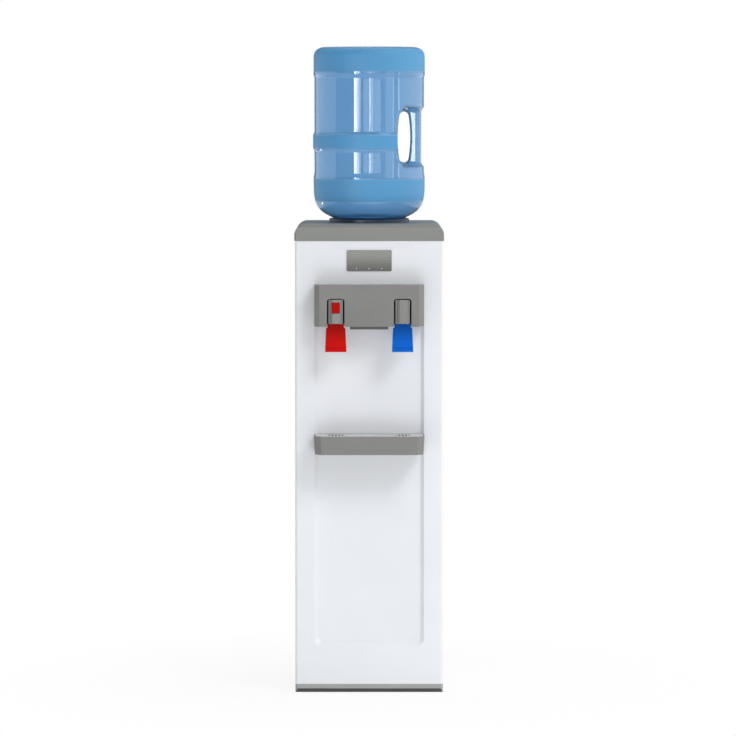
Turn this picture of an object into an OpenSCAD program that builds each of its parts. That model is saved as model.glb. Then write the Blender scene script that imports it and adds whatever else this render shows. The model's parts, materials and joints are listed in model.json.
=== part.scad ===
// Free-standing hot and cold water cooler with an inverted bottle on top.
// Millimetres. The front faces -Y and +X is to the viewer's right.
// Origin: the middle of the footprint's box, on the floor.

/* [Cabinet] */
// Width across the two side panels
cab_w = 310; // [300:1:340]
// Depth from the front panel's face to the back of the side panels
cab_d = 310; // [305:1:350]
// Height from the floor to the top of the grey cover
cab_h = 984; // [960:1:1040]
// Wall of the moulded plastic panels
wall = 3; // [2.5:0.5:4]
// Thickness of the folded steel sheets
sheet = 1.2; // [1:0.1:2]
// Radius of the cabinet's upright front edges
edge_r = 6; // [4:1:10]
// How far the front panel's sides reach back
return_d = 22; // [16:1:30]
// Width of the inward flanges on the side panels
flange_w = 18; // [14:1:24]

/* [Top cover] */
// Height of the grey cover
cover_h = 35.5; // [32:0.5:45]
// How far the cover stands out past the panels
cover_over = 1.5; // [0.5:0.5:4]
// Radius of the cover's corners as seen from the front
cover_corner_r = 24; // [12:1:26]
// Radius of the cover's front edge
cover_edge_r = 8; // [4:1:12]
// Radius of the hole for the bottle seat
seat_hole_r = 70; // [68:1:74]

/* [Bottle seat] */
// Outside radius of the dark ring
ring_r = 84.7; // [80:0.1:95]
// Height of the ring above the cover
ring_h = 8; // [6:0.5:14]
// Inside radius of the well that takes the neck
well_r = 36; // [34:0.5:38]
// Depth of the well's floor below the top of the cover
well_d = 79; // [76:1:84]
// Wall of the seat moulding
seat_t = 2.5; // [2:0.5:3]
// Radius of the feed probe
probe_r = 9.8; // [9:0.1:10.2]

/* [Base] */
// Height of the grey base strip
skirt_h = 18; // [16:1:30]
// Height of the lower part of the strip that slopes under
skirt_slope_h = 8; // [4:0.5:9]
// How far the strip's front slopes under
skirt_slope = 2.5; // [1:0.5:5]
// Radius of the rubber feet
foot_r = 12; // [10:1:16]

/* [Front recess] */
// Width of the shallow recess in the front panel
recess_w = 230; // [224:1:236]
// Height of its lower edge above the floor
recess_z = 100; // [80:1:140]
// Depth of the recess
recess_d = 8; // [5:0.5:10]
// Width of its sloping walls
recess_slope = 7; // [4:0.5:9]
// Radius of its corners
recess_r = 12; // [9:1:20]

/* [Indicator plate] */
// Width of the plate above the taps
plate_w = 94; // [80:1:120]
// Height of the plate
plate_h = 44; // [36:1:50]
// Gap between the plate and the cover
plate_drop = 19; // [14:1:24]
// Distance between neighbouring lamps
lamp_pitch = 26.5; // [20:0.5:32]
// Radius of a lamp
lamp_r = 1.5; // [1:0.1:2.5]

/* [Tap housing] */
// Width at the cabinet
housing_w = 228.5; // [220:0.5:232]
// Width of the flat front
housing_front_w = 208; // [200:1:212]
// Depth of the sloping strips at the housing's sides
housing_chamfer = 11.2; // [9:0.1:12]
// Height of the housing
housing_h = 86; // [84:1:92]
// How far it stands out from the cabinet
housing_out = 50; // [49:1:56]
// Distance from the top of the cover down to the housing
housing_drop = 126; // [118:1:140]
// Wall of the housing
housing_t = 2.5; // [2:0.5:3]
// Distance between the two taps
tap_pitch = 139; // [125:1:150]
// Width of the opening for a tap key
slot_w = 36.4; // [35.2:0.2:37]
// Height of the opening
slot_h = 58; // [56:1:60]
// Radius of the opening's top corners
slot_r = 6; // [3:0.5:8]

/* [Taps] */
// Width of a tap key
key_w = 29.6; // [29.2:0.2:31]
// Width of the sloping strips on a key's sides
key_bevel = 5; // [3:0.5:6]
// Angle that a lever swings back
lever_swing = 12; // [8:1:12]
// Height of a paddle
paddle_h = 58; // [50:1:64]
// Width of a paddle at its lower edge
paddle_w = 44.5; // [40:0.5:50]
// Width of a paddle below its shoulders
paddle_top_w = 40; // [38:0.5:42]
// Thickness of a paddle
paddle_t = 3; // [2.5:0.5:4]
// Radius of the lever pins
pin_r = 2.5; // [2:0.1:3]
// Running clearance round pins and stems
run_fit = 0.08; // [0.05:0.01:0.1]
// Width of the child-lock button
lock_w = 16; // [12:0.5:17]
// Height of the child-lock button
lock_h = 22; // [16:0.5:23]
// Travel of the child-lock button
lock_travel = 2; // [1.5:0.25:2]

/* [Drip tray] */
// Width at the rim
tray_w = 230; // [224:1:236]
// Width at the floor of the tray
tray_low_w = 225; // [216:1:230]
// Height of the tray
tray_h = 38.5; // [30:0.5:50]
// How far the tray stands out from the cabinet
tray_out = 72; // [60:1:90]
// Height of the rim above the floor
tray_top = 545; // [480:1:600]
// Wall of the tray
tray_t = 2.5; // [2:0.5:3.5]
// Radius of the front corners
tray_r = 14; // [8:1:20]
// Thickness of the grille
grille_t = 3; // [2.5:0.5:4]

/* [Bottle] */
// Height from the seat to the bottle's flat end
bottle_h = 360; // [350:1:400]
// Radius of the bands
band_r = 118; // [116:0.5:122]
// Radius of the panels between the bands
panel_r = 116; // [114:0.5:118]
// Radius of the rib round the middle
rib_r = 119.2; // [118:0.1:122]
// Wall of the bottle
bottle_t = 2.2; // [1.8:0.1:3]
// Outside radius of the neck
neck_r = 27.5; // [27:0.1:28]
// Distance from the cabinet's front face to the bottle's axis
bottle_back = 155; // [150:1:160]
// Height of the hole behind the grip
grip_hole_h = 108; // [90:1:116]
// Width of the hole behind the grip
grip_hole_w = 27; // [20:0.5:29]
// Thickness of the grip, front to back
grip_d = 34; // [28:1:42]
// Distance that the bottle lifts to come free
bottle_lift = 110; // [100:1:140]

/* [Tanks] */
// Radius of the cold tank
cold_r = 72; // [68:1:73]
// Height of the cold tank
cold_h = 145; // [130:1:150]
// Turns of the cooling coil
coil_turns = 6; // [4:1:8]
// Radius of the cooling tube
coil_tube_r = 3.5; // [3:0.1:3.6]
// Radius of the hot tank
hot_r = 48; // [44:1:50]
// Height of the hot tank
hot_h = 120; // [110:1:130]

/* [Cooling system] */
// Radius of the compressor's shell
comp_r = 60; // [55:1:62]
// Height of the compressor's shell
comp_h = 160; // [150:1:170]
// Width of the condenser
cond_w = 220; // [200:1:224]
// Passes of the condenser's tube
cond_passes = 13; // [9:1:14]
// Distance between two passes
cond_pitch = 42; // [38:1:44]
// How far the condenser stands out behind the cabinet
cond_out = 30; // [26:1:40]

/* [Hidden] */
$fn = 96;
eps = 0.01;
gap = 0.3;

white_abs = "whitesmoke";
white_steel = "white";
grey_abs = [0.54, 0.54, 0.53];
dark_abs = [0.10, 0.11, 0.13];
steel_grey = [0.68, 0.69, 0.70];
stainless = [0.78, 0.79, 0.80];
copper = [0.78, 0.46, 0.30];
rubber = [0.09, 0.09, 0.09];
hot_red = [0.76, 0.11, 0.09];
cold_blue = [0.11, 0.40, 0.76];
bottle_blue = [0.45, 0.66, 0.84];
foam_white = [0.93, 0.93, 0.90];

front_y = tray_out - (tray_out + cab_d + cond_out) / 2;
back_y = front_y + cab_d;
bottle_y = front_y + bottle_back;
cover_z = cab_h - cover_h;
body_z = skirt_h;
body_h = cover_z - body_z;
side_y = front_y + return_d;

housing_z = cab_h - housing_drop - housing_h;
housing_y = front_y - housing_out;
slot_top = housing_z + slot_h;
tap_y = front_y - 19;
pivot_y = front_y - 40;
pivot_z = slot_top + 8.5;
lever_arm = tap_y - pivot_y;
bonnet_h = 18;
bonnet_z = pivot_z - bonnet_h - 6;
bonnet_r = 12.5;
stem_r = 2.5;
spout_z = housing_z + 26;
tap_end_y = front_y + 30;
stem_lift = lever_arm * lever_swing * PI / 180;
key_y = housing_y - 1;
key_top = slot_top - 2;
key_low = housing_z + 6;
paddle_top = key_low - 0.5;
paddle_low = paddle_top - paddle_h;
lock_z = key_top - 17;
flange_y = 5;
bridge = flange_y + lock_travel + 1.6;
bridge_t = 1.6;
lock_wire_r = 0.3;
lock_gap = 0.7;
paddle_line = 8.4;

recess_top = housing_z + 6;
recess_h = recess_top - recess_z;
tray_z = tray_top - tray_h;
tray_back = front_y - gap;

cone_rise = 22 / 38;
seat_z = cab_h + 10;
bottle_top = seat_z + bottle_h;
well_z = cab_h - well_d;
neck_low = well_z + 12.2;
cap_low = well_z + 9;
rib_z = bottle_top - 199.6;
rib_flat = 28;
rib_ramp = 6;
grip_z = bottle_top - 190;
grip_x = 73.6;
grip_end = 37;
sleeve_top = cap_low + 36;
plug_drop = 9.7;
probe_top = sleeve_top + plug_drop - 7.9;

foam_r = 110;
foam_in_r = 90;
foam_top = well_z - seat_t - 0.5;
lid_z = foam_top - 19;
cold_z = lid_z - cold_h;
foam_z = cold_z - 19;
shelf_z = foam_z - sheet;
shelf_back = 36;
foam_wall = cold_z - foam_z;
tank_pipes = [[0, 0], [35, -40]];
pipe_hole_r = 5.3;
coil_steps = 20;
coil_r = (cold_r + coil_tube_r + gap) / cos(180 / coil_steps);
coil_back_r = coil_r + 2 * coil_tube_r + 1.2;
coil_low = cold_z + 13;
coil_high = lid_z - 20;
line_z = shelf_z - 14;
hot_top = shelf_z - 50;
hot_z = hot_top - hot_h;
jacket_r = hot_r + 14;
cradle_z = hot_z - 8;

plate_z = skirt_h - 8;
comp_y = bottle_y + 45;
comp_z = plate_z + sheet + 13;
ports = [[-40, 10], [40, 28]];
port_rise = 5;
stud_x = comp_r + 16;
stud_y = comp_r - 12;
grommet_h = 20;
port_z = comp_z + comp_h + port_rise + 0.2;
back_open_z = 250;
cond_x = -15;
cond_tube_r = 2.5;
wire_r = 0.8;
wire_off = cond_tube_r + wire_r + 0.02;
cond_y = back_y + cond_out - wire_off - wire_r;
cond_z = back_open_z + 22;
wires = 26;
wire_reach = cond_w / 2 - cond_pitch / 2 - 2;
wire_pitch = 2 * wire_reach / (wires - 1);
tab_x = wire_reach - 1.5 * wire_pitch;
tab_w = 4;
cond_top = cond_z + (cond_passes - 1) * cond_pitch;
drain_x = cab_w / 2 - 34;
drain_z = back_open_z + 50;
spout_out = 16;
gland_x = cab_w / 2 - 40;
gland_z = plate_z + 26;
switch_z = cover_z - 70;
switch_x = [cab_w / 2 - 67, cab_w / 2 - 39];
screw_z = [back_open_z + 40, back_open_z + 240, back_open_z + 440, cover_z - 60];
screw_x = cab_w / 2 - 11;

// Flat shapes and ways to stand them up

module rounded(w, h, r) {
    square([w - 2 * r, h], center = true);
    square([w, h - 2 * r], center = true);
    for (x = [-1, 1], y = [-1, 1]) translate([x * (w / 2 - r), y * (h / 2 - r)]) circle(r);
}

// Rounded on the -Y side only
module front_rounded(w, d, r) {
    translate([-w / 2, r]) square([w, d - r]);
    translate([-w / 2 + r, 0]) square([w - 2 * r, d]);
    for (x = [-1, 1]) translate([x * (w / 2 - r), r]) circle(r);
}

module slab(w, d, h, r) linear_extrude(h) rounded(w, d, r);

// A flat shape in X and Z, standing at y and reaching back by d
module facing(y, d) translate([0, y, 0]) rotate([90, 0, 0]) mirror([0, 0, 1]) linear_extrude(d) children();

// A flat shape in Y and Z, reaching from -w/2 to w/2
module across(w) translate([-w / 2, 0, 0]) rotate([90, 0, 90]) linear_extrude(w) children();

module rod_y(r, y0, y1) translate([0, y0, 0]) rotate([-90, 0, 0]) cylinder(r = r, h = y1 - y0);

module rod_x(r, l) rotate([0, 90, 0]) cylinder(r = r, h = l, center = true);

// Tubes swept along points, each ring square to the way it runs

function unit(v) = v / norm(v);
function heading(p) = [for (i = [0:len(p) - 1])
    unit(p[min(i + 1, len(p) - 1)] - p[max(i - 1, 0)])];
function square_to(n, t) = unit(n - (n * t) * t);
function side_of(t) = square_to(abs(t.z) < 0.9 ? [0, 0, 1] : [1, 0, 0], t);
function sides_along(t) = [for (i = 0, n = side_of(t[0]); i < len(t);
    i = i + 1, n = i < len(t) ? square_to(n, t[i]) : n) n];

module tube(p, r, sides = 6) {
    t = heading(p);
    n = sides_along(t);
    last = (len(p) - 1) * sides;
    polyhedron(
        points = [for (i = [0:len(p) - 1], k = [0:sides - 1])
            p[i] + r * (cos(360 * k / sides) * n[i] + sin(360 * k / sides) * cross(t[i], n[i]))],
        faces = concat(
            [[for (k = [0:sides - 1]) k]],
            [for (i = [0:len(p) - 2], k = [0:sides - 1], half = [0, 1])
                let (a = i * sides + k, b = i * sides + (k + 1) % sides)
                half == 0 ? [a, a + sides, b + sides] : [a, b + sides, b]],
            [[for (k = [sides - 1:-1:0]) last + k]]));
}

// A smooth run through a few chosen points
function blend4(a, b, c, d, t) = 0.5 * (2 * b + (c - a) * t + (2 * a - 5 * b + 4 * c - d) * t * t
    + (3 * b - a - 3 * c + d) * t * t * t);
function smooth(p, steps) = concat(
    [for (i = [0:len(p) - 2], s = [0:steps - 1])
        blend4(p[max(i - 1, 0)], p[i], p[i + 1], p[min(i + 2, len(p) - 1)], s / steps)],
    [p[len(p) - 1]]);

// Straight stretches that start and end a run
function lead(p, v) = [p, p + v / 2, p + v];
function land(p, v) = [p + v, p + v / 2, p];

// Spring wire: closed ends are left to the seats
function spring_path(r, h, curls, rings = 8) = [for (i = [0:curls * rings])
    [r * cos(360 * i / rings), r * sin(360 * i / rings), h * i / (curls * rings)]];

// Cabinet

module recess_form(grow, deeper) {
    w = recess_w + 2 * grow;
    h = recess_h + 2 * grow;
    d = recess_d + deeper;
    k = [(w - 2 * recess_slope) / w, (h - 2 * recess_slope) / h];
    translate([0, front_y - eps, recess_z + recess_h / 2]) rotate([-90, 0, 0])
        linear_extrude(d, scale = k, slices = 1) rounded(w, h, recess_r + grow, $fn = 32);
}

module at_taps() for (s = [-1, 1]) translate([s * tap_pitch / 2, 0, 0]) children();

module front_panel() color(white_abs) {
    plate_mid = cover_z - plate_drop - plate_h / 2;
    lamp_z = cover_z - plate_drop - plate_h + 5.5;
    difference() {
        union() {
            difference() {
                translate([0, front_y, body_z]) linear_extrude(body_h) difference() {
                    front_rounded(cab_w, return_d, edge_r);
                    translate([0, wall])
                        front_rounded(cab_w - 2 * wall, return_d, edge_r - wall);
                }
                recess_form(wall, -1);
            }
            difference() {
                recess_form(wall, wall);
                recess_form(0, 0);
            }
            for (s = [-1, 1]) translate([s * 34, 0, lamp_z])
                rod_y(4, front_y + wall - 1, front_y + wall + 6);
        }
        at_taps() translate([0, 0, spout_z]) rod_y(7, front_y - 1, front_y + wall + 1);
        for (s = [-1, 0, 1]) translate([s * lamp_pitch, 0, lamp_z])
            rod_y(lamp_r + 0.3, front_y - 1, front_y + wall + 1);
        for (s = [-1, 1]) translate([s * 70 - 8.5, front_y, tray_z + 9.5])
            cube([17, recess_d + 2 * wall, 13]);
        translate([0, 0, plate_mid]) facing(front_y - 1, 1 + 1.2)
            rounded(plate_w + 0.4, plate_h + 0.4, 3.2);
    }
}

module side_panel() translate([0, 0, body_z]) {
    translate([cab_w / 2 - sheet, side_y, 0]) cube([sheet, back_y - side_y, body_h]);
    translate([cab_w / 2 - flange_w, side_y, 0]) cube([flange_w, sheet, body_h]);
    difference() {
        translate([cab_w / 2 - flange_w, back_y - sheet, 0]) cube([flange_w, sheet, body_h]);
        for (z = screw_z) translate([screw_x, 0, z - body_z]) rod_y(2.1, back_y - 3, back_y + 1);
    }
}

module side_panel_right() color(white_steel) side_panel();

module side_panel_left() color(white_steel) mirror([1, 0, 0]) side_panel();

// Tabs that the condenser's tube rests on
module condenser_tab(x, pass) {
    z = cond_z + pass * cond_pitch - cond_tube_r - 2.6;
    translate([cond_x + x - tab_w / 2, back_y - sheet - eps, z])
        cube([tab_w, cond_y + 4 - back_y + sheet, 2.4]);
    translate([cond_x + x - tab_w / 2, cond_y + 2.8, z]) cube([tab_w, 1.2, 4.6]);
}

module back_panel() color(steel_grey) {
    y = back_y - 2 * sheet;
    difference() {
        union() {
            translate([-cab_w / 2 + sheet + 1, y, back_open_z])
                cube([cab_w - 2 * sheet - 2, sheet, cover_z - back_open_z]);
            for (s = [-1, 1], pass = [1, cond_passes - 2])
                condenser_tab(s * tab_x, pass);
        }
        for (x = switch_x) translate([x - 9.7, y - 1, switch_z - 13.2]) cube([19.4, 4, 26.4]);
        translate([drain_x, 0, drain_z]) rod_y(7.3, y - 1, back_y + 1);
        for (s = [-1, 1], z = screw_z) translate([s * screw_x, 0, z]) rod_y(2.1, y - 1, back_y + 1);
    }
}

module cover_form(shrink) {
    w = cab_w + 2 * cover_over - 2 * shrink;
    d = cab_d + cover_over - 2 * shrink;
    h = cover_h - shrink;
    y = front_y - cover_over + shrink;
    r = cover_corner_r - shrink;
    e = cover_edge_r - shrink;
    intersection() {
        translate([0, y, cover_z - eps]) linear_extrude(h + eps) front_rounded(w, d, edge_r);
        facing(y, d) {
            translate([-w / 2, cover_z - 1]) square([w, h + 1 - r]);
            translate([-w / 2 + r, cover_z - 1]) square([w - 2 * r, h + 1]);
            for (s = [-1, 1]) translate([s * (w / 2 - r), cover_z + h - r]) circle(r);
        }
        across(w) {
            translate([y, cover_z - 1]) square([d, h + 1 - e]);
            translate([y + e, cover_z - 1]) square([d - 2 * e, h + 1]);
            for (s = [y + e, y + d - e]) translate([s, cover_z + h - e]) circle(e);
        }
    }
}

module top_cover() color(grey_abs) difference() {
    intersection() {
        cover_form(0);
        translate([-cab_w, front_y - 50, cover_z]) cube([2 * cab_w, cab_d + 100, cover_h + 1]);
    }
    translate([0, 0, -eps]) cover_form(wall);
    translate([0, bottle_y, cab_h - wall - 1]) cylinder(r = seat_hole_r, h = wall + 2);
}

module bottle_seat() color(dark_abs) translate([0, bottle_y, 0]) {
    mouth_r = ring_r - 5.2;
    cone_r = well_r + 4;
    cone_z = seat_z - 0.5 - (78 - cone_r) * cone_rise;
    lip_r = 74.5;
    lip_z = cone_z + (lip_r - cone_r) * cone_rise;
    under = seat_t + 0.4;
    foot_edge = cone_r + (cab_h - cone_z + under) / cone_rise;
    hole = probe_r + 0.4;
    rotate_extrude() polygon([
        [ring_r, cab_h], [ring_r, cab_h + ring_h - 1.7], [ring_r - 0.6, cab_h + ring_h - 0.6],
        [ring_r - 1.7, cab_h + ring_h], [mouth_r, cab_h + ring_h], [lip_r, lip_z],
        [cone_r, cone_z], [well_r + 1.2, cone_z - 2.6], [well_r, cone_z - 5.5], [well_r, well_z],
        [hole, well_z], [hole, well_z - seat_t], [well_r + seat_t, well_z - seat_t],
        [well_r + seat_t, cone_z - 6.5], [cone_r + 1.4, cone_z - under + 0.8],
        [foot_edge, cab_h]]);
}

module base_skirt() color(grey_abs) {
    low = 0.5;
    in_x = cab_w - 2 * wall;
    in_y = cab_d - 2 * wall;
    ledge = 9;
    mid_y = front_y + cab_d / 2;
    difference() {
        intersection() {
            translate([0, mid_y, low]) slab(cab_w, cab_d, skirt_h - low, edge_r);
            across(cab_w) polygon([[front_y + skirt_slope, low], [back_y, low], [back_y, skirt_h],
                [front_y, skirt_h], [front_y, low + skirt_slope_h]]);
        }
        translate([0, mid_y, plate_z]) slab(in_x, in_y, skirt_h, edge_r - wall);
        translate([0, mid_y, -1]) slab(in_x - 2 * ledge, in_y - 2 * ledge, skirt_h + 2, edge_r);
    }
}

module base_plate() color(steel_grey) {
    w = cab_w - 2 * wall - 1;
    d = cab_d - 2 * wall - 1;
    mid_y = front_y + cab_d / 2;
    rear = mid_y + d / 2 - sheet;
    difference() {
        union() {
            translate([0, mid_y, plate_z]) slab(w, d, sheet, edge_r - wall);
            translate([-w / 2 + edge_r, rear, plate_z]) cube([w - 2 * edge_r, sheet, 45]);
            translate([-w / 2 + edge_r, mid_y - d / 2, plate_z]) cube([w - 2 * edge_r, sheet, 24]);
            at_studs() translate([0, 0, plate_z]) cylinder(r = 3.9, h = 30, $fn = 32);
        }
        translate([gland_x, 0, gland_z]) rod_y(6.1, rear - 1, back_y + 1);
        for (x = [-45:15:45]) translate([x, mid_y - 95, plate_z - 1])
            slab(6, 60, sheet + 2, 2.9, $fn = 32);
    }
}

module at_studs() for (x = [-1, 1], y = [-1, 1]) translate([x * stud_x, comp_y + y * stud_y, 0])
    children();

module feet() color(rubber) for (x = [-1, 1], y = [-1, 1])
    translate([x * (cab_w / 2 - 30), front_y + cab_d / 2 + y * (cab_d / 2 - 30), 0])
        rotate_extrude() polygon([[0, 0], [foot_r - 2, 0], [foot_r - 0.6, 0.6], [foot_r, 2],
            [foot_r - 1.5, plate_z], [0, plate_z]]);

// Indicator

module indicator_plate() color(grey_abs) {
    mid = cover_z - plate_drop - plate_h / 2;
    difference() {
        translate([0, 0, mid]) facing(front_y - 1, 2.1) rounded(plate_w, plate_h, 3);
        for (s = [-1, 0, 1]) translate([s * lamp_pitch, 0, mid - plate_h / 2 + 5.5])
            rod_y(lamp_r + 0.1, front_y - 2, front_y + 3);
    }
}

module indicator_lenses() color("honeydew") for (s = [-1, 0, 1])
    translate([s * lamp_pitch, 0, cover_z - plate_drop - plate_h + 5.5])
        rod_y(lamp_r, front_y - 1.2, front_y + wall + 6);

module indicator_board() color("darkgreen")
    translate([0, 0, cover_z - plate_drop - plate_h + 5.5])
        facing(front_y + wall + 6, 1.6) rounded(84, 20, 2);

// Tap housing and levers

module housing_plan(shrink, back = 0) {
    w = housing_w / 2 - shrink;
    f = housing_front_w / 2 - shrink * 0.6;
    d = housing_out - shrink;
    c = housing_chamfer;
    polygon([[-w, back], [-w, -d + c], [-f, -d], [f, -d], [w, -d + c], [w, back]]);
}

module slot_form(w) {
    translate([-w / 2, housing_z - 1]) square([w, slot_h + 1 - slot_r]);
    translate([-w / 2 + slot_r, housing_z - 1]) square([w - 2 * slot_r, slot_h + 1]);
    for (s = [-1, 1]) translate([s * (w / 2 - slot_r), slot_top - slot_r]) circle(slot_r);
}

module tap_housing() color(grey_abs) difference() {
    union() {
        difference() {
            translate([0, front_y, housing_z]) linear_extrude(housing_h) housing_plan(0);
            translate([0, front_y, housing_z + housing_t])
                linear_extrude(housing_h - 2 * housing_t) housing_plan(housing_t, back = 1);
        }
        at_taps() for (s = [-1, 1]) translate([s * (key_w / 2 + 2.1), 0, 0])
            translate([0, housing_y + housing_t / 2, slot_top + 1])
                translate([-1.2, 0, 0]) cube([2.4, 16, housing_h - slot_h - 2]);
    }
    at_taps() facing(housing_y - 1, housing_t + 2) slot_form(slot_w);
    at_taps() translate([-slot_w / 2, housing_y - 1, housing_z - 1])
        cube([slot_w, housing_out - 4, housing_t + 2]);
    at_taps() translate([0, pivot_y, pivot_z]) rod_x(pin_r + run_fit, key_w + 12);
}

module housing_bottom_cover() color([0.4, 0.4, 0.4])
    translate([0, front_y - 27, housing_z - 6]) difference() {
        slab(80, 34, 6, 3);
        translate([0, 0, 2]) slab(75, 29, 5, 2);
    }

// Outline of a lever's cheek, from the face up to the pin
module cheek_outline() {
    back = key_y + 14;
    polygon([[key_y + 1, key_low], [back - 3, key_low], [back, key_low + 12],
        [pivot_y + 5, pivot_z - 12], [pivot_y + 6, pivot_z], [pivot_y - 5.6, pivot_z],
        [key_y + 4.5, key_top - 1], [key_y + 1, key_top - 1]]);
    translate([pivot_y, pivot_z]) circle(6);
}

module lever_key() {
    face_t = 2.6;
    in_w = key_w - 4;
    difference() {
        union() {
            translate([0, key_y, key_low]) linear_extrude(key_top - key_low)
                polygon([[-key_w / 2, 3.4], [-key_w / 2 + key_bevel, 0], [key_w / 2 - key_bevel, 0],
                    [key_w / 2, 3.4], [key_w / 2, 7], [key_w / 2 - 2, 7],
                    [key_w / 2 - 2, 3.4 + 1], [key_w / 2 - key_bevel - 0.6, face_t],
                    [-key_w / 2 + key_bevel + 0.6, face_t], [-key_w / 2 + 2, 3.4 + 1],
                    [-key_w / 2 + 2, 7], [-key_w / 2, 7]]);
            translate([-in_w / 2 - 0.5, key_y + 1, key_top - 2]) cube([in_w + 1, 8, 2]);
            for (s = [-1, 1]) translate([s * (key_w / 2 - 1), 0, 0]) across(2) cheek_outline();
            translate([0, pivot_y, pivot_z]) lever_fork();
        }
        translate([0, pivot_y, pivot_z]) rod_x(pin_r + run_fit, key_w + 2);
    }
}

// Joins the cheeks behind the pin and lifts the stem's head
module lever_fork() {
    reach = lever_arm + 1;
    stem_gap = 6.4;
    tine = 8;
    difference() {
        translate([-key_w / 2 + 1, 3, -2.6]) cube([key_w - 2, reach - 3, 4.2]);
        translate([-stem_gap / 2, reach - 10, -4]) cube([stem_gap, 20, 7]);
        for (s = [0, 1]) mirror([s, 0, 0]) translate([tine, reach - 5, -4]) cube([key_w, 20, 7]);
    }
}

module hot_key() color(grey_abs) translate([-tap_pitch / 2, 0, 0]) {
    difference() {
        lever_key();
        facing_at(lock_z, key_y - 1, 5) rounded(lock_w + 2 * lock_gap, lock_h + 2 * lock_gap, 1.5 + lock_gap);
    }
    difference() {
        translate([-key_w / 2 + 1.5, key_y + bridge, lock_z - 8]) cube([key_w - 3, bridge_t, 16]);
        translate([0, 0, lock_z]) rod_y(1.4, key_y + bridge - 1, key_y + bridge + bridge_t + 1);
    }
}

module facing_at(z, y, d) translate([0, 0, z]) facing(y, d) children();

module cold_key() color(grey_abs) translate([tap_pitch / 2, 0, 0]) lever_key();

// The paddle hangs from a tongue behind the key's face, with a pressed line above its lower edge
module lever_paddle() {
    tongue = key_w / 2 - key_bevel - 1;
    waist = slot_w / 2 - 1.3;
    y0 = key_y + 0.4;
    intersection() {
        facing(key_y - 20, 60) for (s = [0, 1]) mirror([s, 0]) polygon([
            [-eps, paddle_top + 16], [tongue, paddle_top + 16], [tongue, paddle_top],
            [waist, paddle_top], [waist, housing_z - 0.4], [paddle_top_w / 2, housing_z - 4],
            [paddle_w / 2, paddle_low], [-eps, paddle_low]]);
        across(paddle_w + 2) polygon([
            [key_y + 3, paddle_top + 16], [key_y + 3, paddle_top - 0.5], [y0, paddle_top],
            [y0 + 4, paddle_top - 20], [y0 - 1.8, paddle_low + paddle_line + 0.7],
            [y0 - 0.9, paddle_low + paddle_line], [y0 - 2, paddle_low + paddle_line - 0.7],
            [y0 - 1.2, paddle_low + 0.6],
            [y0, paddle_low], [y0 + paddle_t - 1, paddle_low + 0.4],
            [y0 - 2 + paddle_t, paddle_low + paddle_line], [y0 + 4 + paddle_t, paddle_top - 20],
            [key_y + 5.4, paddle_top - 2], [key_y + 5.4, paddle_top + 16]]);
    }
}

module hot_paddle() color(hot_red) translate([-tap_pitch / 2, 0, 0]) lever_paddle();

module cold_paddle() color(cold_blue) translate([tap_pitch / 2, 0, 0]) lever_paddle();

module lock_button() color(hot_red) translate([-tap_pitch / 2, 0, 0]) {
    facing_at(lock_z, key_y - 0.8, 4.8) rounded(lock_w, lock_h, 1.5);
    facing_at(lock_z, key_y + 3, flange_y - 3) rounded(lock_w + 3, lock_h + 2, 1.5);
    translate([0, 0, lock_z]) rod_y(1.2, key_y + 4, key_y + bridge + bridge_t + 0.4);
}

module lock_spring() color(stainless)
    translate([-tap_pitch / 2, key_y + flange_y + lock_wire_r + 0.1, lock_z]) rotate([-90, 0, 0])
        tube(spring_path(3.2, bridge - flange_y - 2 * lock_wire_r - 0.2, 2), lock_wire_r);

module lever_pins() color(stainless) at_taps()
    translate([0, pivot_y, pivot_z]) rod_x(pin_r, key_w + 7.4, $fn = 48);

// Taps

module tap_body() {
    chamber_r = 10;
    difference() {
        union() {
            translate([0, tap_y, 0]) rotate_extrude() polygon([[0, housing_z + 12],
                [9, housing_z + 12], [bonnet_r, housing_z + 17], [bonnet_r, bonnet_z],
                [0, bonnet_z]]);
            translate([0, tap_y, housing_z - 7]) cylinder(r = 6, h = 24, $fn = 48);
            translate([0, 0, spout_z]) rod_y(5.5, tap_y, tap_end_y, $fn = 48);
            translate([0, 0, spout_z]) rod_y(10.5, front_y - 4, front_y, $fn = 48);
        }
        translate([0, tap_y, housing_z + 21]) cylinder(r = chamber_r, h = 60, $fn = 48);
        translate([0, tap_y, housing_z - 8]) cylinder(r = 4.5, h = 40, $fn = 48);
        translate([0, 0, spout_z]) rod_y(3.5, tap_y + 2, tap_end_y + 1, $fn = 48);
    }
}

module hot_tap_body() color("ivory") translate([-tap_pitch / 2, 0, 0]) tap_body();

module cold_tap_body() color("ivory") translate([tap_pitch / 2, 0, 0]) tap_body();

module tap_bonnets() color("ivory") at_taps() translate([0, tap_y, bonnet_z])
    rotate_extrude() polygon([[bonnet_r, 0], [bonnet_r, bonnet_h - 1], [bonnet_r - 1, bonnet_h],
        [stem_r + run_fit, bonnet_h], [stem_r + run_fit, bonnet_h - 3],
        [bonnet_r - 2.5, bonnet_h - 3], [bonnet_r - 2.5, 0]]);

module valve_stem() translate([0, tap_y, 0]) rotate_extrude() {
    seat = housing_z + 21.1;
    polygon([[0, seat], [7, seat], [8.6, seat + 1.6], [8.6, seat + 4], [stem_r, seat + 4],
        [stem_r, pivot_z + 1.9], [6, pivot_z + 1.9], [6, pivot_z + 4.6], [5, pivot_z + 5.6],
        [0, pivot_z + 5.6]]);
}

module hot_valve_stem() color("dimgray") translate([-tap_pitch / 2, 0, 0]) valve_stem();

module cold_valve_stem() color("dimgray") translate([tap_pitch / 2, 0, 0]) valve_stem();

module valve_spring() {
    low = housing_z + 25.2;
    translate([0, tap_y, low + 0.9]) tube(spring_path(5.4, pivot_z - 9.2 - low - 1.8, 6), 0.7);
}

module hot_valve_spring() color(stainless) translate([-tap_pitch / 2, 0, 0]) valve_spring();

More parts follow.
